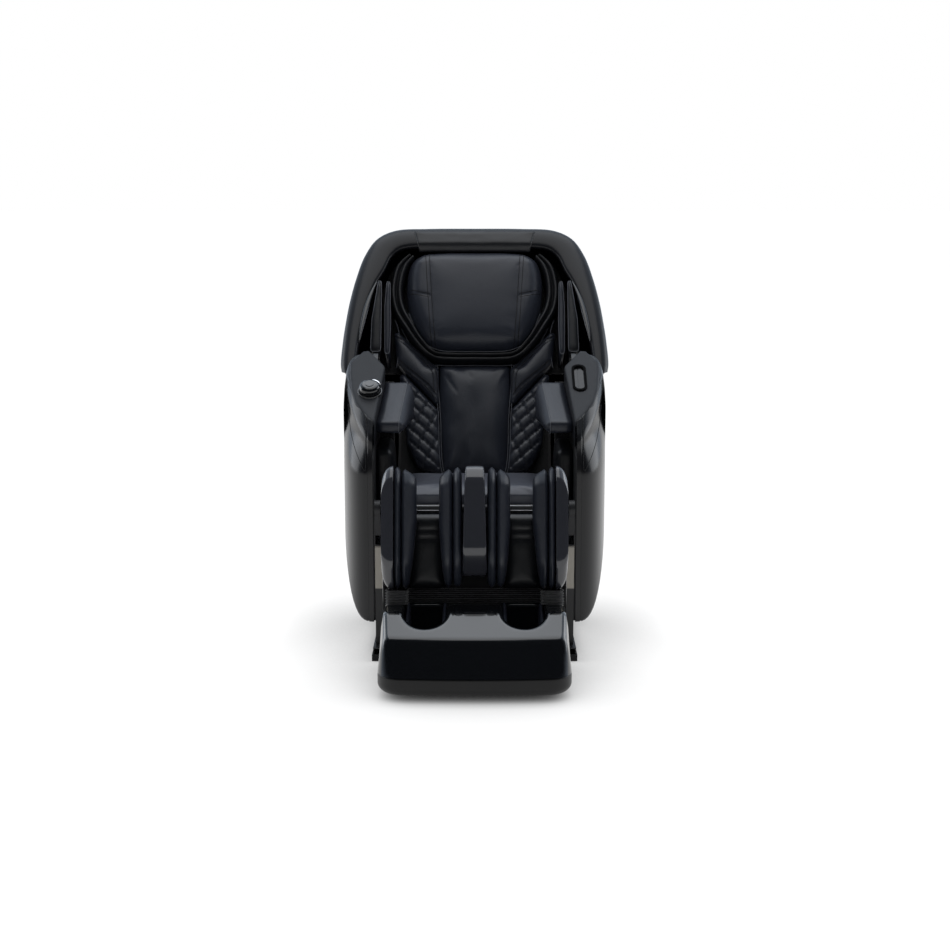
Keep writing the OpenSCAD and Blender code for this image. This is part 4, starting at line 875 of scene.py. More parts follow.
ribSwell = {"calfRibMiddle": bulging(22, -1), "calfRibInner": bulging(15, 1)}
ribPieces = {}
for name, (low, high, corners) in ribs.items():
    half = (high - low) / 2
    sizes = {"corners": corners, "back": 0, "front": half, "edge": half, "both": True, "step": 7,
             "pressure": 1.2, "cap": 2.2, "folds": [(1.1, 26, 40, low)]}
    if name in ribSwell:
        sizes["swell"] = ribSwell[name]
    ribPieces[name] = makePad(name + "Right", sideOf((low + high) / 2), sizes, finishes["leather"])
calfSizes = {"corners": [(84, -222, 12), (180.5, -222, 12), (180.5, -16, 16), (84, -16, 16)], "back": -8,
             "front": 40, "edge": 16, "crown": 5, "reach": 40,
             "step": 6, "pressure": 3, "cap": 6,
             "seams": [([(90, -60), (175, -60)], 3, 5), ([(90, -84), (175, -84)], 3, 5)],
             "folds": [(1.4, 50, 40, 2.9)]}
# the calf back pads take the leather darkened as painted shade
calfPad = makePad("calfBackPadRight", legPlane, calfSizes, finishes["leatherPaintedShade"])
soleSizes = {"corners": [(75, -626, 36), (189, -626, 36), (189, -366, 28), (75, -366, 28)], "back": 84.3,
             "front": 97, "edge": 8, "crown": 1, "reach": 20, "step": 7, "bulge": 0.2}
# the sole pads take the leather darkened as painted shade
solePad = makePad("solePadRight", floorPlane, soleSizes, finishes["leatherPaintedShade"])
leafCorners = [(-590, 96.4, 10), (-378, 96.4, 10), (-378, 196, 18), (-430, 190, 40), (-580, 158, 30)]
leaves = {}
for name, (low, high) in {"footLeafInner": (74.3, 88), "footLeafOuter": (176, 189.7)}.items():
    half = (high - low) / 2
    sizes = {"corners": leafCorners, "back": 0, "front": half, "edge": half, "both": True, "step": 6,
             "pressure": 1.2, "cap": 1.5}
    leaves[name] = makePad(name + "Right", plane(((low + high) / 2, 0, 0), (0, 1, 0), (0, 0, 1), (1, 0, 0)),
                           sizes, finishes["leather"])
print("pads shaped:", len(waiting), "to fill")
inflateAll()
print("pads filled")

carried(pillow, "backrest", ["head_pillow"])
carried(backPad, "backrest", ["back_pad"])
carried(collar, "backrest", ["neck_collar"])
carried(seatCushion, "seat", ["seat_cushion"])
for piece, name, body, nodes, fill in [
        (band, "shoulderBandLeft", "backrest", ["shoulder_bands"], 0.5),
        (quilt, "quiltPadLeft", "backrest", ["quilt_pad_left", "quilt_pad_right"], 0.6),
        (shoulder, "shoulderPadLeft", "backrest", ["shoulder_pad_left", "shoulder_pad_right"], 0.5),
        (shoulderInner, "shoulderLeafLeft", "backrest", ["shoulder_pad_left", "shoulder_pad_right"], 0.5),
        (forearm, "forearmPadLeft", "seat", ["forearm_pads"], 0.6),
        (lowerArm, "lowerArmPadLeft", "seat", ["lower_arm_pads"], 0.5),
        (calfPad, "calfBackPadLeft", "calf_unit", ["calf_pads"], 0.6),
        (solePad, "solePadLeft", "foot_unit", ["foot_pads"], 0.4)]:
    other = mirrored(piece, name)
    carried(piece, body, nodes[-1:])
    carried(other, body, nodes[:1])
for name, piece in ribPieces.items():
    bothSides(piece, name + "Left", "calf_unit", ["calf_pads"])
for name, piece in leaves.items():
    bothSides(piece, name + "Left", "foot_unit", ["foot_pads"])

# ---- seams, piping and dial ----
def beside(path, d):
    # the same line, moved sideways
    path = np.asarray(path, float)
    tangent = np.gradient(path, axis=0)
    length = np.maximum(np.linalg.norm(tangent, axis=1), 1e-9)
    return path + d * np.column_stack([tangent[:, 1], -tangent[:, 0]]) / length[:, None]

def drawn(path):
    # an even line through a seam's points
    return spaced(smooth(path, closed=False) if len(path) > 2 else path, 5, closed=False)

def doubleStitched(piece, at, path, gap=4.0):
    even = drawn(path)
    return [lying(piece, at, beside(even, side), lift=0.3) for side in (gap, -gap)]

bandLeft = bpy.data.objects["shoulderBandLeft"]
threads = []
for path, _, _ in pillowSizes["seams"]:
    threads += doubleStitched(pillow, backPlane, path, 5.0)
for path, _, _ in bandSizes["seams"]:
    threads += doubleStitched(band, backPlane, path)
    threads += doubleStitched(bandLeft, backPlane, [(-x, u) for x, u in path])
quiltLeft = bpy.data.objects["quiltPadLeft"]
for line in quiltLines:
    even = spaced(line, 6, closed=False)
    threads += [lying(quilt, backPlane, even, lift=0.2),
                lying(quiltLeft, backPlane, even * [-1, 1], lift=0.2)]
sewn("backStitches", [t for t in threads if len(t) > 3], "backrest")
# painted shade: dark cords beside the pillow and band seams, for the shade in the seam grooves
grooveShadeCords = []
pillowPaths, bandPaths = ([path for path, _, _ in sizes["seams"]] for sizes in (pillowSizes, bandSizes))
bandPathsLeft = [[(-x, u) for x, u in path] for path in bandPaths]
for piece, paths in ((pillow, pillowPaths), (band, bandPaths), (bandLeft, bandPathsLeft)):
    for path in paths:
        even = drawn(path)
        grooveShadeCords += [(lying(piece, backPlane, beside(even, side), lift=0.0), False) for side in (6.0, -6.0)]
piped("backSeamShadeCords", [g for g in grooveShadeCords if len(g[0]) > 3], "backrest", 1.0, "thread")

pipingSizes = {"back pad": [(115, 394), (113, 330), (108, 262), (104, 200), (102, 120), (97, 60), (90, 28)],
               "pad out": 70, "gap": 6.5,
               "pillow low": [(206, 560), (183, 505), (150, 454), (108, 434), (60, 430), (0, 430)],
               "pillow out": 92,
               "collar low": [(246, 560), (220, 500), (182, 438), (140, 402), (100, 396), (0, 396)],
               "collar out": 62,
               "band edge": [(243, 380), (236, 440), (238, 505), (250, 546)], "band out": 78, "radius": 1.3}

def makePiping():
    s = pipingSizes
    lines = []
    for key, out in (("back pad", "pad out"), ("pillow low", "pillow out"), ("collar low", "collar out"),
                     ("band edge", "band out")):
        shapes = [s[key]]
        if key == "back pad":
            shapes.append([(x + s["gap"], u) for x, u in s[key]])
        for shape in shapes:
            if shape[-1][0] == 0:
                lines.append((backPlane([[x, u, s[out]] for x,
                                         u in spaced(smooth(mirrorKnots(shape), closed=False), 7,
                                                     closed=False)]), False))
            else:
                for side in (1, -1):
                    lines.append((backPlane([[side * x, u, s[out]] for x,
                                             u in spaced(smooth(shape, closed=False), 7, closed=False)]),
                                  False))
    for sizes in (outerLeaf, innerLeaf):
        rim = spaced(rounded(sizes["corners"]), 7)
        for side in (1, -1):
            lines.append((backPlane([[side * x, u, sizes["front"] - sizes["edge"] + 3] for x, u in rim]),
                          True))
    # the piping takes the lighter leather, a painted highlight
    return piped("backPiping", lines, "backrest", pipingSizes["radius"])

makePiping()

forearmPiping = {"out": 64, "lift": 0.6, "radius": 1.3}

def makeForearmPiping():
    rim = spaced(rounded(forearmSizes["corners"]), 6)
    line = np.column_stack([rim + outwards(rim) * forearmPiping["lift"],
                            np.full(len(rim), forearmPiping["out"])])
    world = forearmPlane(line)
    # the piping takes the lighter leather, a painted highlight
    return piped("forearmPiping", [(world, True), (world * [-1, 1, 1], True)], "seat",
                 forearmPiping["radius"])

makeForearmPiping()

# sleeve of cloth round the shaft at the top of each channel, with two bright steel cords along it that paint
# the shaft's highlight lines
shaftSizes = {"from": 84.5, "to": 180, "radius": 12.6, "seams": (38, -24), "seam": 1.1}

def makeShaftSleeve():
    s = shaftSizes
    parts, seams = [], []
    for side in (1, -1):
        xs = np.linspace(s["from"], s["to"], 30)
        path = legPlane([[side * x, 0, 0] for x in xs])
        parts.append(tube(path, (s["radius"] - 0.3) * 0.001, sides=28))
        for a in s["seams"]:
            seams.append((legPlane([[side * x, s["radius"] * sin(radians(a)), s["radius"] * cos(radians(a))]
                                    for x in xs]), False))
    carried(meshPiece("shaftSleeve", *joined(parts), finishes["cloth"]), "calf_unit")
    # bright steel cords: painted highlight lines along the shaft
    piped("shaftPaintedHighlights", seams, "calf_unit", s["seam"], "steel")

makeShaftSleeve()

dialSizes = {"x": -303, "t": 136, "radius": 31, "wide": 5, "low": 3.2, "high": 17, "from": 0.06, "to": 0.66}

def makeDialTrim():
    # a low dark ring and a bright crescent behind the dial
    d = dialSizes
    around = np.linspace(0, 2 * pi, 96, endpoint=False)
    section = [(1, -6), (1, d["low"] - 1), (2, d["low"]), (d["wide"] - 1, d["low"]),
               (d["wide"], d["low"] - 1), (d["wide"], -6)]
    rings = [[[d["x"] + (d["radius"] + w) * cos(a), d["t"] + (d["radius"] + w) * sin(a), h] for a in around]
             for w, h in section]
    ring = meshPiece("dialRing", armPlane(np.vstack(rings)), loftFaces(len(section), len(around), join=True),
                     finishes["trim"], sharp=50)
    turns = np.linspace(pi * d["from"], pi * d["to"], 40)
    points = []
    for i, a in enumerate(turns):
        swell = sin(pi * i / (len(turns) - 1)) ** 0.6
        tall = d["low"] + (d["high"] - d["low"]) * swell
        for w, h in ((1.2, 0), (1.2, tall - 1), (2, tall), (1 + (d["wide"] - 2) * swell + 0.8, tall),
                     (1 + (d["wide"] - 1) * swell + 0.8, tall - 1.4), (1 + (d["wide"] - 1) * swell + 0.8, 0)):
            points.append([d["x"] + (d["radius"] + w) * cos(a), d["t"] + (d["radius"] + w) * sin(a), h])
    faces = loftFaces(len(turns), 6) + endCaps(len(turns), 6)
    crescent = meshPiece("dialCrescent", armPlane(points), faces, finishes["chrome"], sharp=50)
    for piece in (ring, crescent):
        carried(piece, "seat", ["dial_bezel"])

makeDialTrim()
print("seams, piping and dial trim made")

# ---- hood ----
hoodSizes = {"outer": [(405, 430), (401, 480), (391, 570), (374, 665), (349, 757), (311, 824), (253, 857),
                       (150, 864), (0, 865)],
             "inner": [(352, 430), (346, 480), (331, 565), (308, 640), (283, 695), (260, 752), (232, 777),
                       (140, 787), (0, 787)],
             "halfWidth": (404, 408, 358), "crown": 865, "foot": (305, 215), "rear": -90, "gap": 372,
             "section": [(1, 0.93, 0), (0.93, 0.945, 0), (0.85, 0.96, 0), (0.72, 0.975, 0), (0.6, 0.985, 0),
                         (0.45, 0.995, 0), (0.33, 1, 0), (0.25, 1, 0),
                         (0.17, 1, 0), (0.11, 1, 0.004), (0.075, 1, 0.025), (0.05, 1, 0.08), (0.03, 1, 0.17),
                         (0.013, 1, 0.3), (0.003, 1, 0.46), (0, 1, 0.62),
                         (0.002, 1, 0.75), (0.009, 1, 0.86), (0.022, 1, 0.94), (0.04, 1, 0.985),
                         (0.065, 1, 1), (0.1, 1, 0.99), (0.15, 1, 0.93), (0.22, 1, 0.8),
                         (0.32, 1, 0.64), (0.45, 0.993, 0.55), (0.6, 0.985, 0.48), (0.72, 0.972, 0.44),
                         (0.85, 0.96, 0.4), (0.93, 0.945, 0.38), (1, 0.93, 0.36)]}

def hoodHeight(s):
    return sqrt(hoodSizes["gap"] ** 2 - (hoodSizes["foot"][1] + (hoodSizes["rear"] - hoodSizes["foot"][1])
                                         * s) ** 2)

def hoodArch(s, k, across):
    # one arch of the hood: its share of the depth, its narrowing and its share of the rim's width
    low, settle = hoodHeight(s), 0.965 + 0.035 * (k - 0.93) / 0.07
    near, far, lip = hoodSizes["halfWidth"]
    outer = [(near * k, low), (far * k, low + 28)] + [(x * k, u * settle) for x, u in hoodSizes["outer"]]
    inner = [(lip * k, low), (lip * k, low + 28)] + [(x * k, u * settle) for x, u in hoodSizes["inner"]]
    outer, inner = (smooth(mirrorKnots(knots), closed=False, steps=7) for knots in (outer, inner))
    return outer + (inner - outer) * across

def hoodOut(u, s):
    foot, rear = hoodSizes["foot"], hoodSizes["rear"]
    rim = foot[1] - (u - foot[0]) * (foot[1] - 100) / (hoodSizes["crown"] - foot[0])
    return rim + (rear - rim) * s

def makeHood():
    arches = [hoodArch(*entry) for entry in hoodSizes["section"]]
    count, rings = len(arches[0]), len(arches)
    points = [[x, u, hoodOut(u, entry[0])] for arch, entry in zip(arches, hoodSizes["section"]) for x,
              u in arch]
    faces = [(r * count + i, r * count + i + 1, (r + 1) % rings * count + i + 1, (r + 1) % rings * count + i)
             for r in range(rings) for i in range(count - 1)]
    for end in (0, count - 1):
        faces += [tuple(k * count + end
                        for k in ((r, r + 1, rings - 2 - r, rings - 1 - r) if r + 1 != rings - 2 - r
                                  else (r, r + 1, rings - 1 - r))) for r in range(rings // 2)]
    return meshPiece("hood", backPlane(points), faces, finishes["hood"], sharp=50)

carried(makeHood(), "backrest", ["hood"])

# glossy lip inside the lower half of the rim
lipSizes = {"from": 415, "to": 655, "half": 8.5, "out": 5, "sides": 14}

def makeLip():
    arch = hoodArch(0.0, 1, 0.97)
    arch = arch[:len(arch) // 2]
    rim = spaced(arch[(arch[:, 1] > lipSizes["from"]) & (arch[:, 1] < lipSizes["to"])], 7, closed=False)
    points = []
    for i, (x, u) in enumerate(rim):
        wide = 0.6 + lipSizes["half"] * sin(pi * i / (len(rim) - 1)) ** 0.8
        for a in np.linspace(0, 2 * pi, lipSizes["sides"], endpoint=False):
            points.append([x - 2 + wide * cos(a), u, hoodOut(u, 0.03) + lipSizes["out"] + 0.8 * wide
                           * sin(a)])
    faces = loftFaces(len(rim), lipSizes["sides"]) + endCaps(len(rim), lipSizes["sides"])
    return meshPiece("hoodLipRight", backPlane(points), faces, finishes["trim"])

bothSides(makeLip(), "hoodLipLeft", "backrest", ())

# padded flap that hangs from the crown over the rim
flapSizes = {"top": (192, 842), "bottom": (176, 772), "thick": 4.5, "columns": 60, "rows": 16}

def makeFlap():
    (wideTop, top), (wideLow, low) = flapSizes["top"], flapSizes["bottom"]
    columns, rows = flapSizes["columns"], flapSizes["rows"]
    def place(layer, r, c):
        front, share, across = 1 - layer, r / rows, 2 * c / columns - 1
        u, x = low + (top - low) * share, across * (wideLow + (wideTop - wideLow) * share)
        edge = min(1, 6 * (1 - abs(across)), 5 * (1 - share) + 0.12)
        over = hoodOut(u, 0.0) - 22 * max(0.0, 1 - (u - low) / 30) ** 2
        puff = front * flapSizes["thick"] * (0.25 + 0.75 * sqrt(max(0.0, edge)))
        return [x, u, over + puff + 0.6 * front * noise.noise((x * 0.02, u * 0.05, 4))]
    # the flap takes the leather darkened as painted shade
    return doubledSheet("crownFlap", backPlane, rows, columns, place, finishes["leatherPaintedShade"])

carried(makeFlap(), "backrest")

# ---- rear shell ----
rearSizes = {"half": 256, "depth": 172, "round": 46, "wall": 6, "step": 12, "front": -90.0, "low": 36,
             "corner": 50}

def makeRearShell():
    low, half = hoodHeight(1) - 4, rearSizes["half"]
    foot, corner = rearSizes["low"], rearSizes["corner"]
    bottom = rounded([(-half, low, 0), (-half, foot, corner), (half, foot, corner), (half, low, 0)], 12)
    outline = np.vstack([bottom, hoodArch(1, 0.93, 0)])
    outline = divided([outline], rearSizes["step"])[0]
    wall, r, depth = rearSizes["wall"], rearSizes["round"], rearSizes["depth"]
    rings = []
    turns = np.linspace(0, pi / 2, 10)
    for a in turns[::-1]:
        rings.append(np.column_stack([drawnIn(outline, wall + (r - 2) * (1 - cos(a))),
                                      np.full(len(outline), -(depth - wall - (r - 2) * (1 - sin(a))))]))
    rings.append(np.column_stack([drawnIn(outline, wall), np.full(len(outline), rearSizes["front"])]))
    rings.append(np.column_stack([outline, np.full(len(outline), rearSizes["front"])]))
    for a in turns:
        rings.append(np.column_stack([drawnIn(outline, r * (1 - cos(a))),
                                      np.full(len(outline), -(depth - r * (1 - sin(a))))]))
    count = len(outline)
    points, faces = np.vstack(rings), loftFaces(len(rings), count)
    for ring, start in ((rings[0], 0), (rings[-1], (len(rings) - 1) * count)):
        def place(p, near, out=ring[0, 2], swell=4 if start else 0):
            return [*p, out - swell * (1 - np.exp(-(near / 90) ** 2))]
        points, more = capped(points, ring[:, :2], start, 40, place)
        faces += more
    return meshPiece("rearShell", backPlane(points), faces, finishes["satin"], sharp=40)

rearShell = carried(makeRearShell(), "backrest", ["back_cover"])

def studTree():
    # one small round head on every point, facing along a given direction
    sockets = [("Radius", "NodeSocketFloat", 0.005), ("Height", "NodeSocketFloat", 0.002),
               ("Facing", "NodeSocketVector", (0, 0, 1)), ("Stretch", "NodeSocketVector", (1, 1, 1)),
               ("Finish", "NodeSocketMaterial", None)]
    tree, given, result = nodeTree("studRow", sockets)
    head, turn = made(tree.nodes, "GeometryNodeMeshCylinder", "FunctionNodeAlignRotationToVector")
    head.inputs["Vertices"].default_value = 20
    turn.axis = "Z"
    wired(tree.links, (given.outputs["Radius"], head.inputs["Radius"]),
          (given.outputs["Height"], head.inputs["Depth"]),
          (given.outputs["Facing"], turn.inputs["Vector"]))
    return repeating(tree, given, result, given.outputs["Geometry"], head, turn, given.outputs["Stretch"])

rearTrim = {"screws": [(-214, 90), (214, 90), (-226, 250), (226, 250), (-226, 400), (226, 400), (-150, 60),
                       (150, 60)], "screw radius": 0.006, "screw height": 0.004,
            "louvers": (11, 96, 250), "louver half": 0.075, "louver width": 0.0035, "louver depth": 0.005}

def pointsOf(name, points):
    mesh = bpy.data.meshes.new(name)
    mesh.from_pydata([tuple(map(float, p)) for p in points], [], [])
    piece = bpy.data.objects.new(name, mesh)
    scene.collection.objects.link(piece)
    return piece

def onRear(points):
    # the rear face under each place (across, up)
    tree = BVHTree.FromPolygons([v.co for v in rearShell.data.vertices],
                                [p.vertices for p in rearShell.data.polygons])
    start = backPlane([[x, u, -400] for x, u in points])
    way = Vector(backPlane([[0, 0, 1]])[0] - backPlane([[0, 0, 0]])[0]).normalized()
    return [np.array(tree.ray_cast(Vector(p), way)[0]) for p in start]

def makeRearTrim():
    facing = tuple(backPlane([[0, 0, -1]])[0] - backPlane([[0, 0, 0]])[0])
    facing = tuple(np.array(facing) / np.linalg.norm(facing))
    heads = studTree()
    screws = grown("rearScrews", pointsOf("screwPlaces", onRear(rearTrim["screws"])), heads,
                   {"Radius": rearTrim["screw radius"], "Height": rearTrim["screw height"], "Facing": facing,
                    "Finish": finishes["steel"]})
    carried(screws, "backrest")
    count, low, high = rearTrim["louvers"]
    rows = onRear([(0, u) for u in np.linspace(low, high, count)])
    louvers = grown("rearLouvers", pointsOf("louverPlaces", rows), heads,
                    {"Radius": rearTrim["louver width"], "Height": rearTrim["louver depth"], "Facing": facing,
                     "Stretch": (rearTrim["louver half"] / rearTrim["louver width"], 1, 1),
                     "Finish": finishes["rubber"]})
    carried(louvers, "backrest")

makeRearTrim()
print("hood and rear shell made")

# ---- side shells ----
shellSizes = {"front": -250, "low": 95, "arc": 360, "inner": 288, "outer": 381, "crestFrom": 520, "step": 14,
              "front draw": (190, 2.2, 1.9), "crest draw": (270, 1.5, 1.5), "low draw": (260, 3.2, 1.5),
              "rear draw": (80, 4, 2.1), "top draw": (30, 6, 2),
              "groove": (303.5, 3.0, 1.6)}

def armLine(y):
    return 674 + (y + 200) * tan(armSlope)

def drawAt(kind, share):
    size, a, b = shellSizes[kind]
    return size * (1 - max(0.0, 1 - share ** a) ** (1 / b))

def shellOutline(share, inset=0.0):
    front, crest, low, rear, top = (drawAt(kind, share) + inset for kind in ("front draw", "crest draw",
            "low draw", "rear draw", "top draw"))
    crest = min(crest, 252 - rear)
    y0, r = shellSizes["front"], shellSizes["arc"] - rear
    top += 1.5
    corners = [(y0 + front, 95 + low, 12), (280 - rear, 120 + low, 60)]
    corners += [(150 + r * sin(a), 400 + r * cos(a), 0) for a in np.radians(np.linspace(75, -7.5, 26))]
    corners += [(97 - rear, armLine(94 - rear) - top, 10), (-200 + crest, armLine(-200 + crest) - top, 22),
                (-240 + crest, armLine(-200 + crest) - 44 - top, 40)]
    high = armLine(-200 + crest) - 60 - top
    for w in np.linspace(1, 0, 16)[1:]:
        z = shellSizes["crestFrom"] + (high - shellSizes["crestFrom"]) * w
        corners.append((y0 + front + (crest - front + 8) * (3 * w * w - 2 * w ** 3), z, 0))
    return rounded(corners, 8)

def makeSideShell():
    shares = sorted([sin(radians(a)) for a in range(0, 91, 6)] + [0.125, 0.132, 0.139, 0.146, 0.153, 0.16])
    middle, wide, deep = shellSizes["groove"]
    loops, xs = [], []
    for share in shares:
        x = shellSizes["inner"] + (shellSizes["outer"] - shellSizes["inner"]) * share
        loops.append(shellOutline(share, deep if abs(x - middle) < wide / 2 else 0.0))
        xs.append(x)
    loops = divided(loops, shellSizes["step"])
    count = len(loops[0])
    points = np.vstack([np.column_stack([np.full(count, x), loop]) for x, loop in zip(xs, loops)])
    faces = loftFaces(len(loops), count)
    for loop, start, x in ((loops[0], 0, xs[0]), (loops[-1], (len(loops) - 1) * count, xs[-1])):
        def place(p, near, x=x):
            return [x + 2.5 * (1 - np.exp(-(near / 60) ** 2)), *p]
        points, more = capped(points, loop, start, 26 if start else 1e6, place)
        faces += more
    return meshPiece("sideShellRight", points * 0.001, faces, finishes["satin"], sharp=35)

sideShell = makeSideShell()
bothSides(sideShell, "sideShellLeft", "seat", ["side_panel_left", "side_panel_right"])

shieldSizes = {"path": [(371, 764), (340, 715), (323, 698), (309, 680), (307, 610), (309, 536), (322, 556),
                        (340, 590), (358, 640), (368, 700)], "radius": 0.9}

def makeShieldSeam():
    path = spaced(smooth(shieldSizes["path"], closed=False), 5, closed=False)
    world = lying(sideShell, frontPlane, path, lift=0.05)
    piped("shieldSeams", [(world, False), (world * [-1, 1, 1], False)], "seat", shieldSizes["radius"],
          "rubber")

makeShieldSeam()

# ---- armrests ----
armSizes = {"corners": [(284, -206, 0), (298, -196, 0), (318, -168, 30), (342, -128, 60), (357, -76, 80),
                        (367, 0, 60), (369, 46, 14), (323, 108, 10), (264, 28, 8)],
            "depth": 70, "edge": 7, "step": 8, "slot": (306, -26.1, 19, 58), "slot depth": 62}

def makeArmrest(name, slotted):
    rim = spaced(rounded(armSizes["corners"], 14), armSizes["step"])
    edge = armSizes["edge"]
    bands = [edge * (1 - cos(radians(a))) for a in (30, 55, 78)]
    holes = []
    if slotted:
        x, y, half, long = armSizes["slot"]
        corners = [(x + a * half, y + b * long, half) for a, b in ((-1, -1), (1, -1), (1, 1), (-1, 1))]
        holes = [spaced(rounded(corners, 8), 5)]
    flat, triangles, order = filled(rim, armSizes["step"], bands=bands, holes=holes)
    near = distance(flat, rim, True)
    down = edge - np.sqrt(np.maximum(edge ** 2 - (edge - np.minimum(near, edge)) ** 2, 0))
    points = [*np.column_stack([flat, armLine(flat[:, 1]) - down])]
    faces = triangles.tolist()
    def skirt(loop, depths, leaning=0.0):
        rings = [loop]
        for depth in depths:
            rings.append([len(points) + k for k in range(len(loop))])
            points.extend([[flat[i][0], flat[i][1] + depth * sin(leaning),
                            armLine(flat[i][1]) - depth * cos(leaning)] for i in loop])
        for upper, lower in zip(rings, rings[1:]):
            faces.extend([(upper[i], upper[(i + 1) % len(loop)], lower[(i + 1) % len(loop)], lower[i])
                          for i in range(len(loop))])
        return rings[-1]
    outer = skirt(order.tolist(), (16, 34, armSizes["depth"]))
    if slotted:
        hole = [int(np.argmin(np.linalg.norm(flat - p, axis=1))) for p in holes[0]]
        inner = skirt(hole, (armSizes["slot depth"],), armSlope)
        faces.append(tuple(inner))
    faces.append(tuple(outer))
    piece = meshPiece(name, np.array(points) * 0.001, faces, finishes["plate"], sharp=50)
    piece.data.materials.append(finishes["trim"])
    return piece

armRight = makeArmrest("armrestRight", True)
armBase = makeArmrest("armrestBase", False)
armLeft = mirrored(armBase, "armrestLeft")
bpy.data.objects.remove(armBase)
carried(armRight, "seat", ["armrest_right"])
carried(armLeft, "seat", ["armrest_left"])
print("side shells and armrests made")

# ---- foot unit shells ----
footSizes = {"half": 256, "front": -697, "back": -322, "corner": (60, 20), "seam": 68, "low": 15, "bow": 14,
             "step": 9, "floor": 84,
             "side": [(-702, 72, 0), (-686, 88, 0), (-640, 158, 20), (-540, 206, 46), (-458, 204.6, 30),
                      (-290, 169, 0)],
             "well": (132, 58, -592, -364), "skirt": (34, 26)}

def bowed(points):
    # the front of the foot unit bulges towards its middle
    f = footSizes
    moved = np.array(points, float)
    moved[:, 1] += f["bow"] * (moved[:, 0] / f["half"]) ** 2 * np.clip((-540 - moved[:, 1]) / 100, 0, 1)
    return moved

def footLoop(d, steps=12):
    f = footSizes
    front, back = max(f["corner"][0] - d, 22), max(f["corner"][1] - d, 5)
    half, near, far = f["half"] - d, f["front"] + d, f["back"] - d
    return rounded([(-half, near, front), (half, near, front), (half, far, back), (-half, far, back)], steps)

def makeFootCover():
    f = footSizes
    rim = bowed(spaced(footLoop(0), f["step"]))
    x, half, front, back = f["well"]
    well = spaced(rounded([(x - half, front, half - 1), (x + half, front, half - 1), (x + half, back, 30),
                           (x - half, back, 30)], 12), 7)
    wells = [well, well[::-1] * [-1, 1]]
    rings = []
    for w in wells:
        for d in (3, 7, 13):
            ring = w + outwards(w) * d
            rings.append(np.vstack([ring, ring[:1]]))
    flat, triangles, order = filled(rim, f["step"], lines=rings, bands=(2, 6, 12, 19, 27), holes=wells)
    side = rounded(f["side"], 10)
    px, py = flat[:, 0], flat[:, 1]
    near = distance(flat, rim, True)
    corner = np.clip((np.abs(px) - 130) / 100, 0, 1) * np.clip((-540 - py) / 100, 0, 1)
    share = 1 - (1 - np.clip(near / (18 + 14 * corner), 0, 1)) ** 3
    top = np.interp(py - f["bow"] * (px / f["half"]) ** 2 * np.clip((-540 - py) / 100, 0, 1), side[:, 0],
                    side[:, 1])
    z = f["seam"] + (top - f["seam"]) * share
    edge = np.minimum(distance(flat, wells[0], True), distance(flat, wells[1], True))
    z -= 6 * (1 - np.clip(edge / 13, 0, 1)) ** 2
    points, faces = [*np.column_stack([flat, z])], triangles.tolist()
    for w in wells:
        loop = [int(np.argmin(np.linalg.norm(flat - p, axis=1))) for p in w]
        upper = loop
        for deep in (6, 40, None):
            lower = [len(points) + k for k in range(len(w))]
            points += [[*p, z[i] - deep if deep else f["floor"]] for p, i in zip(w, loop)]
            faces += [(upper[k], upper[(k + 1) % len(w)], lower[(k + 1) % len(w)], lower[k])
                      for k in range(len(w))]
            upper = lower
        faces.append(tuple(upper))
    faces.append(tuple(order.tolist()))
    return meshPiece("footCover", np.array(points) * 0.001, faces, finishes["gloss"], sharp=60)

def makeFootSkirt():
    f = footSizes
    wide, tall = f["skirt"]
    levels = [(4, f["seam"] - 0.3), (1.6, f["seam"] - 0.6), (0.3, f["seam"] - 2.4), (0, f["seam"] - 6),
              (0, f["low"] + tall + 4)]
    levels += [(wide * (1 - cos(radians(a))), f["low"] + tall * (1 - sin(radians(a))))
               for a in range(0, 91, 10)]
    loops = divided([footLoop(d) for d, z in levels], 14)
    points = np.vstack([np.column_stack([bowed(loop), np.full(len(loop), z)]) for loop,
                        (d, z) in zip(loops, levels)])
    count = len(loops[0])
    faces = loftFaces(len(loops), count) + endCaps(len(loops), count)
    return meshPiece("footSkirt", points * 0.001, faces, finishes["skirt"], sharp=60)

carried(makeFootCover(), "foot_unit", ["foot_cover"])
carried(makeFootSkirt(), "foot_unit", ["foot_skirt"])

# ---- calf unit shells ----
coverSizes = {"inner": 222, "outer": 255, "tall": 0.34, "deep": 0.10, "edge": 3}
dividerSizes = {"halfTop": 26, "halfLow": 34.5, "edge": 7, "low": -188, "top": 125}

def sideShellOf(name, profile, levels, material):
    # levels give the distance across and the profile's loop there
    loops = divided([loop for x, loop in levels], 12)
    count = len(loops[0])
    points = np.vstack([np.column_stack([x(loop) if callable(x) else np.full(count, x), loop]) for (x, _),
                        loop in zip(levels, loops)])
    faces = loftFaces(len(loops), count)
    for loop, start in ((loops[0], 0), (loops[-1], (len(loops) - 1) * count)):
        flat, triangles, order = filled(loop, 1e6)
        match = {int(o): start + k for k, o in enumerate(order)}
        faces += [tuple(match[i] for i in f) for f in triangles.tolist() if all(i in match for i in f)]
    # profile points are (-out, up)
    return meshPiece(name, legPlane(np.column_stack([points[:, 0], points[:, 2], -points[:, 1]])), faces,
                     finishes[material], sharp=50)

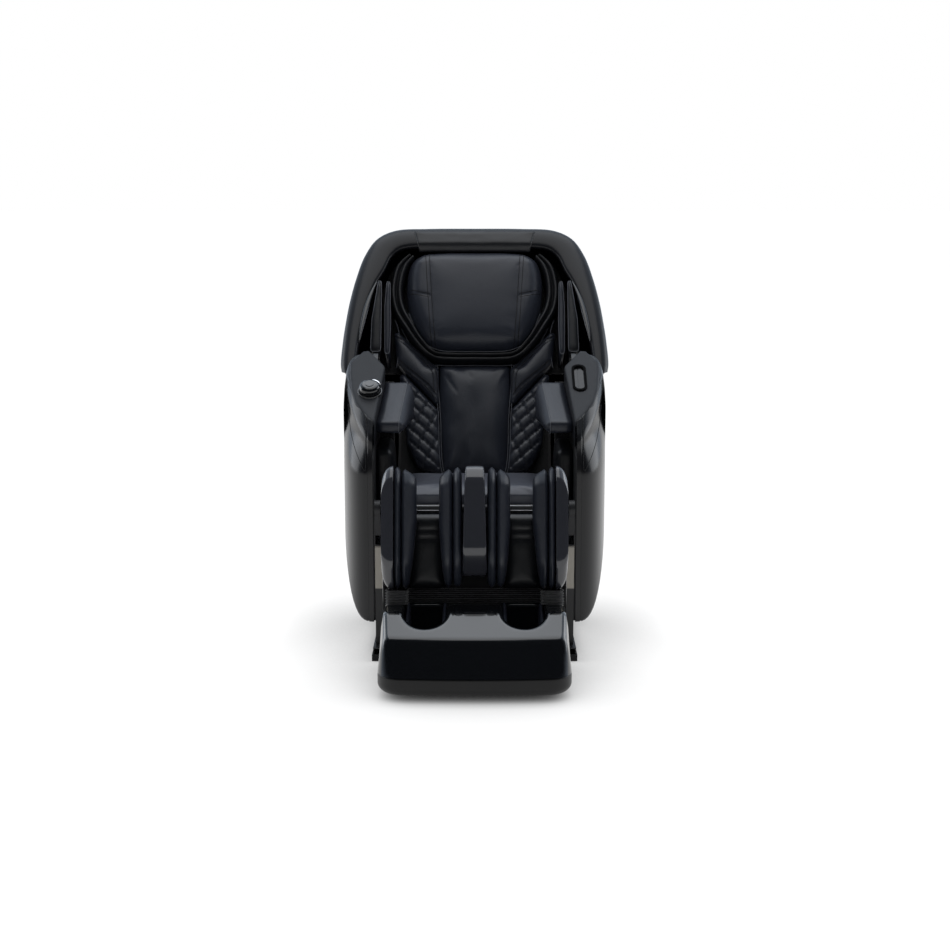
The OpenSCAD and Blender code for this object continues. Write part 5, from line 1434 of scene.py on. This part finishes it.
def makeCalfCover():
    c = coverSizes
    profile = rounded(wallProfile(140, 125, 224, 38), 10)
    middle = (profile.max(0) + profile.min(0)) / 2
    levels = [(c["inner"], drawnIn(profile, c["edge"])), (c["inner"] + 0.8, drawnIn(profile, 1))]
    for share in (0.06, 0.14, 0.26, 0.38, 0.5, 0.6, 0.69, 0.77, 0.84, 0.9, 0.95, 0.985, 1.0):
        curve = 1 - sqrt(1 - min(1.0, share * 0.985) ** 2.3)
        levels.append((c["inner"] + (c["outer"] - c["inner"]) * share,
                       middle + (profile - middle) * [1 - c["deep"] * curve, 1 - c["tall"] * curve]))
    # the cover takes the lighter gloss, a painted reflection
    return sideShellOf("calfCoverRight", profile, levels, "calfGlossPaintedReflection")

def makeDivider():
    d = dividerSizes
    profile = rounded(wallProfile(140, 125, 188, 20), 10)
    levels = []
    for share in (-1, -0.975, -0.93, -0.87, -0.8, -0.4, 0, 0.4, 0.8, 0.87, 0.93, 0.975, 1):
        off = max(0.0, (abs(share) - 0.8) / 0.2)
        inset = d["edge"] * (1 - sqrt(1 - min(1.0, off) ** 2)) + 0.6 * share * share
        loop = drawnIn(profile, inset)
        levels.append((lambda loop, share=share: share * np.interp(loop[:, 1], [d["low"], d["top"]],
                [d["halfLow"], d["halfTop"]]), loop))
    # the divider takes the lighter gloss, a painted reflection
    return sideShellOf("calfDivider", profile, levels, "calfGlossPaintedReflection")

bothSides(makeCalfCover(), "calfCoverLeft", "calf_unit", ["calf_cover_left", "calf_cover_right"])
carried(makeDivider(), "calf_unit", ["calf_divider"])
print("foot and calf shells made")

# dark pleated curtain behind the gap between the calf unit and the foot unit
gussetSizes = {"half": 189, "top": -221, "low": -266, "out": -4, "folds": 4, "depth": 5, "columns": 48,
               "thick": 1.2}

def makeGusset():
    g = gussetSizes
    rows = g["folds"] * 6
    def place(layer, r, c):
        share, x = r / rows, g["half"] * (2 * c / g["columns"] - 1)
        deep = g["depth"] * cos(2 * pi * g["folds"] * share)
        fold = deep * (0.9 + 0.2 * noise.noise((x * 0.02, share * 3, 1)))
        return [x, g["top"] + (g["low"] - g["top"]) * share, g["out"] + fold + layer * g["thick"]]
    return doubledSheet("legGusset", legPlane, rows, g["columns"], place, finishes["cloth"])

gusset = makeGusset()
tuple(legPlane([[0, gussetSizes["top"], 0]])[0])
tuple(legPlane([[0, gussetSizes["low"], 0]])[0])
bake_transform(gusset)

def clothArea(piece):
    # one side of a thin doubled cloth
    return sum(p.area for p in piece.data.polygons) / 2

# ---- sleeves between the calf and foot units ----
sleeveSizes = {"inner": 182, "outer": 246, "front": -126, "rear": 8, "top": -224.3, "low": -262, "folds": 5,
               "depth": 5, "wall": 1.5, "round": 340}

def makeSleeve():
    s = sleeveSizes
    rows = s["folds"] * 6
    base = rounded([(s["inner"], s["front"], 10), (s["outer"], s["front"], 20), (s["outer"], s["rear"], 14),
                    (s["inner"], s["rear"], 10)], 6)
    base = spaced(base, 8)
    normal = outwards(base)
    points = []
    for wall in (0, s["wall"]):
        for k in range(rows + 1) if wall == 0 else reversed(range(rows + 1)):
            z = s["low"] + (s["top"] - s["low"]) * k / rows
            for i, (p, n) in enumerate(zip(base, normal)):
                crumple = 0.8 * noise.noise((p[0] * 0.05, p[1] * 0.05, k * 0.2)) + 0.8
                d = s["depth"] * (0.5 - 0.5 * cos(2 * pi * s["folds"] * k / rows)) + wall + crumple
                points.append([p[0] - n[0] * d, z, -(p[1] - n[1] * d)])
    faces = loftFaces(2 * (rows + 1), len(base), join=True)
    return meshPiece("rodSleeveRight", legPlane(points), faces, finishes["cloth"])

sleeve = makeSleeve()
sleeveLeft = mirrored(sleeve, "rodSleeveLeft")
for piece in (sleeve, sleeveLeft):
    carried(piece, "calf_unit", ["leg_bellows"])
    clothArea(piece) / (sleeveSizes["round"] * 0.001)

# cloth hanging in front of the seat frame
apron = {"half": 227, "top": 473, "low": 330, "y": -263.5, "columns": 65, "rows": 23, "thick": 1.2,
         "wave": (0.7, 0.09), "flat": (0.454, 0.143)}

def makeApron():
    across = np.linspace(-apron["half"], apron["half"], apron["columns"] + 1)
    down = np.linspace(apron["top"], apron["low"], apron["rows"] + 1)
    def place(layer, r, c):
        fall = (apron["top"] - down[r]) / (apron["top"] - apron["low"])
        deep, pitch = apron["wave"]
        wave = 0.8 + deep * sin(across[c] * pitch) * fall
        return [across[c], apron["y"] - wave + layer * apron["thick"], down[r]]
    # the apron takes the leather lightened as painted light
    return doubledSheet("seatApron", floorPlane, apron["rows"], apron["columns"], place,
                        finishes["seatLeatherPaintedLight"])

seatApron = carried(makeApron(), "seat", ["seat_apron"])
print("sleeves and apron made")

# ---- floor, light and background ----
lights = {"world": 0.45, "world colour": (0.93, 0.96, 1, 1), "glossy tint": (0.74, 0.85, 1, 1),
          "aim": (0, -0.1, 0.6), "overhead": (36, 2.7, (0, 0.15, 3.3)), "left": (26, 2.0, (-3.0, 0.8, 1.4)),
          "right": (26, 2.0, (3.0, 0.8, 1.4)),
          "dark": (-0.4, 0.45, 0.03), "seen": 1.0, "floor": (0.8, 1.18, 0.3)}
world = bpy.data.worlds.new("studio")
scene.world = world
world.use_nodes = True
nodes, links = world.node_tree.nodes, world.node_tree.links
nodes.clear()
output, lit, seen, choose = made(nodes, "ShaderNodeOutputWorld", "ShaderNodeBackground",
                                 "ShaderNodeBackground",
                                 "ShaderNodeMixShader")
path, place, apart, shade = made(nodes, "ShaderNodeLightPath", "ShaderNodeTexCoord", "ShaderNodeSeparateXYZ",
                                 "ShaderNodeMapRange")
dark, first, second, tint = made(nodes, "ShaderNodeMath", "ShaderNodeMath", "ShaderNodeMath", "ShaderNodeMix")
dark.operation = first.operation = second.operation = "MAXIMUM"
lit.inputs["Strength"].default_value = lights["world"]
lit.inputs["Color"].default_value = lights["world colour"]
tint.data_type = "RGBA"
tint.inputs["A"].default_value, tint.inputs["B"].default_value = lights["glossy tint"], (1, 1, 1, 1)
wired(links, (path.outputs["Is Camera Ray"], tint.inputs["Factor"]),
      (tint.outputs["Result"], seen.inputs["Color"]))
shade.interpolation_type = "SMOOTHSTEP"
for key, value in zip(("From Min", "From Max", "To Min", "To Max"), (*lights["dark"], lights["seen"])):
    shade.inputs[key].default_value = value
wired(links, (place.outputs["Generated"], apart.inputs[0]), (apart.outputs["Y"], shade.inputs["Value"]),
      (shade.outputs["Result"], dark.inputs[0]), (path.outputs["Is Camera Ray"], dark.inputs[1]),
      (dark.outputs[0], seen.inputs["Strength"]),
      (path.outputs["Is Camera Ray"], first.inputs[0]), (path.outputs["Is Glossy Ray"], first.inputs[1]),
      (first.outputs[0], second.inputs[0]),
      (path.outputs["Is Transmission Ray"], second.inputs[1]), (second.outputs[0], choose.inputs["Fac"]),
      (lit.outputs[0], choose.inputs[1]),
      (seen.outputs[0], choose.inputs[2]), (choose.outputs[0], output.inputs["Surface"]))

for name in ("overhead", "left", "right"):
    power, size, where = lights[name]
    lamp = bpy.data.lights.new(name, "AREA")
    lamp.energy, lamp.shape, lamp.size = power, "SQUARE", size
    holder = bpy.data.objects.new(name, lamp)
    holder.location = where
    holder.rotation_euler = (Vector(lights["aim"]) - Vector(where)).to_track_quat("-Z", "Y").to_euler()
    scene.collection.objects.link(holder)

# the floor glows white to the eye, and occlusion darkens that glow under the chair: a painted shadow
floorMaterial, nodes, links, shader = newMaterial("paleFloor", (0.9, 0.9, 0.9), 0.9)
glow, mix, path = made(nodes, "ShaderNodeEmission", "ShaderNodeMixShader", "ShaderNodeLightPath")
share, either, near = made(nodes, "ShaderNodeMath", "ShaderNodeMath", "ShaderNodeAmbientOcclusion")
share.operation, either.operation = "MULTIPLY", "MAXIMUM"
for socket, value in zip((share.inputs[1], glow.inputs["Strength"], near.inputs["Distance"]),
                         lights["floor"]):
    socket.default_value = value
wired(links, (path.outputs["Is Camera Ray"], either.inputs[0]),
      (path.outputs["Is Glossy Ray"], either.inputs[1]), (either.outputs[0], share.inputs[0]),
      (share.outputs[0], mix.inputs["Fac"]), (near.outputs["Color"], glow.inputs["Color"]),
      (shader.outputs[0], mix.inputs[1]), (glow.outputs[0], mix.inputs[2]),
      (mix.outputs[0], nodes["Material Output"].inputs["Surface"]))
floorCorners = [(-40, -40, 0), (40, -40, 0), (40, 80, 0), (-40, 80, 0)]
floor = meshPiece("floor", floorCorners, [(0, 1, 2, 3)], floorMaterial, tidy=False)
scene.view_settings.view_transform = "Standard"
print("floor, light and background made")
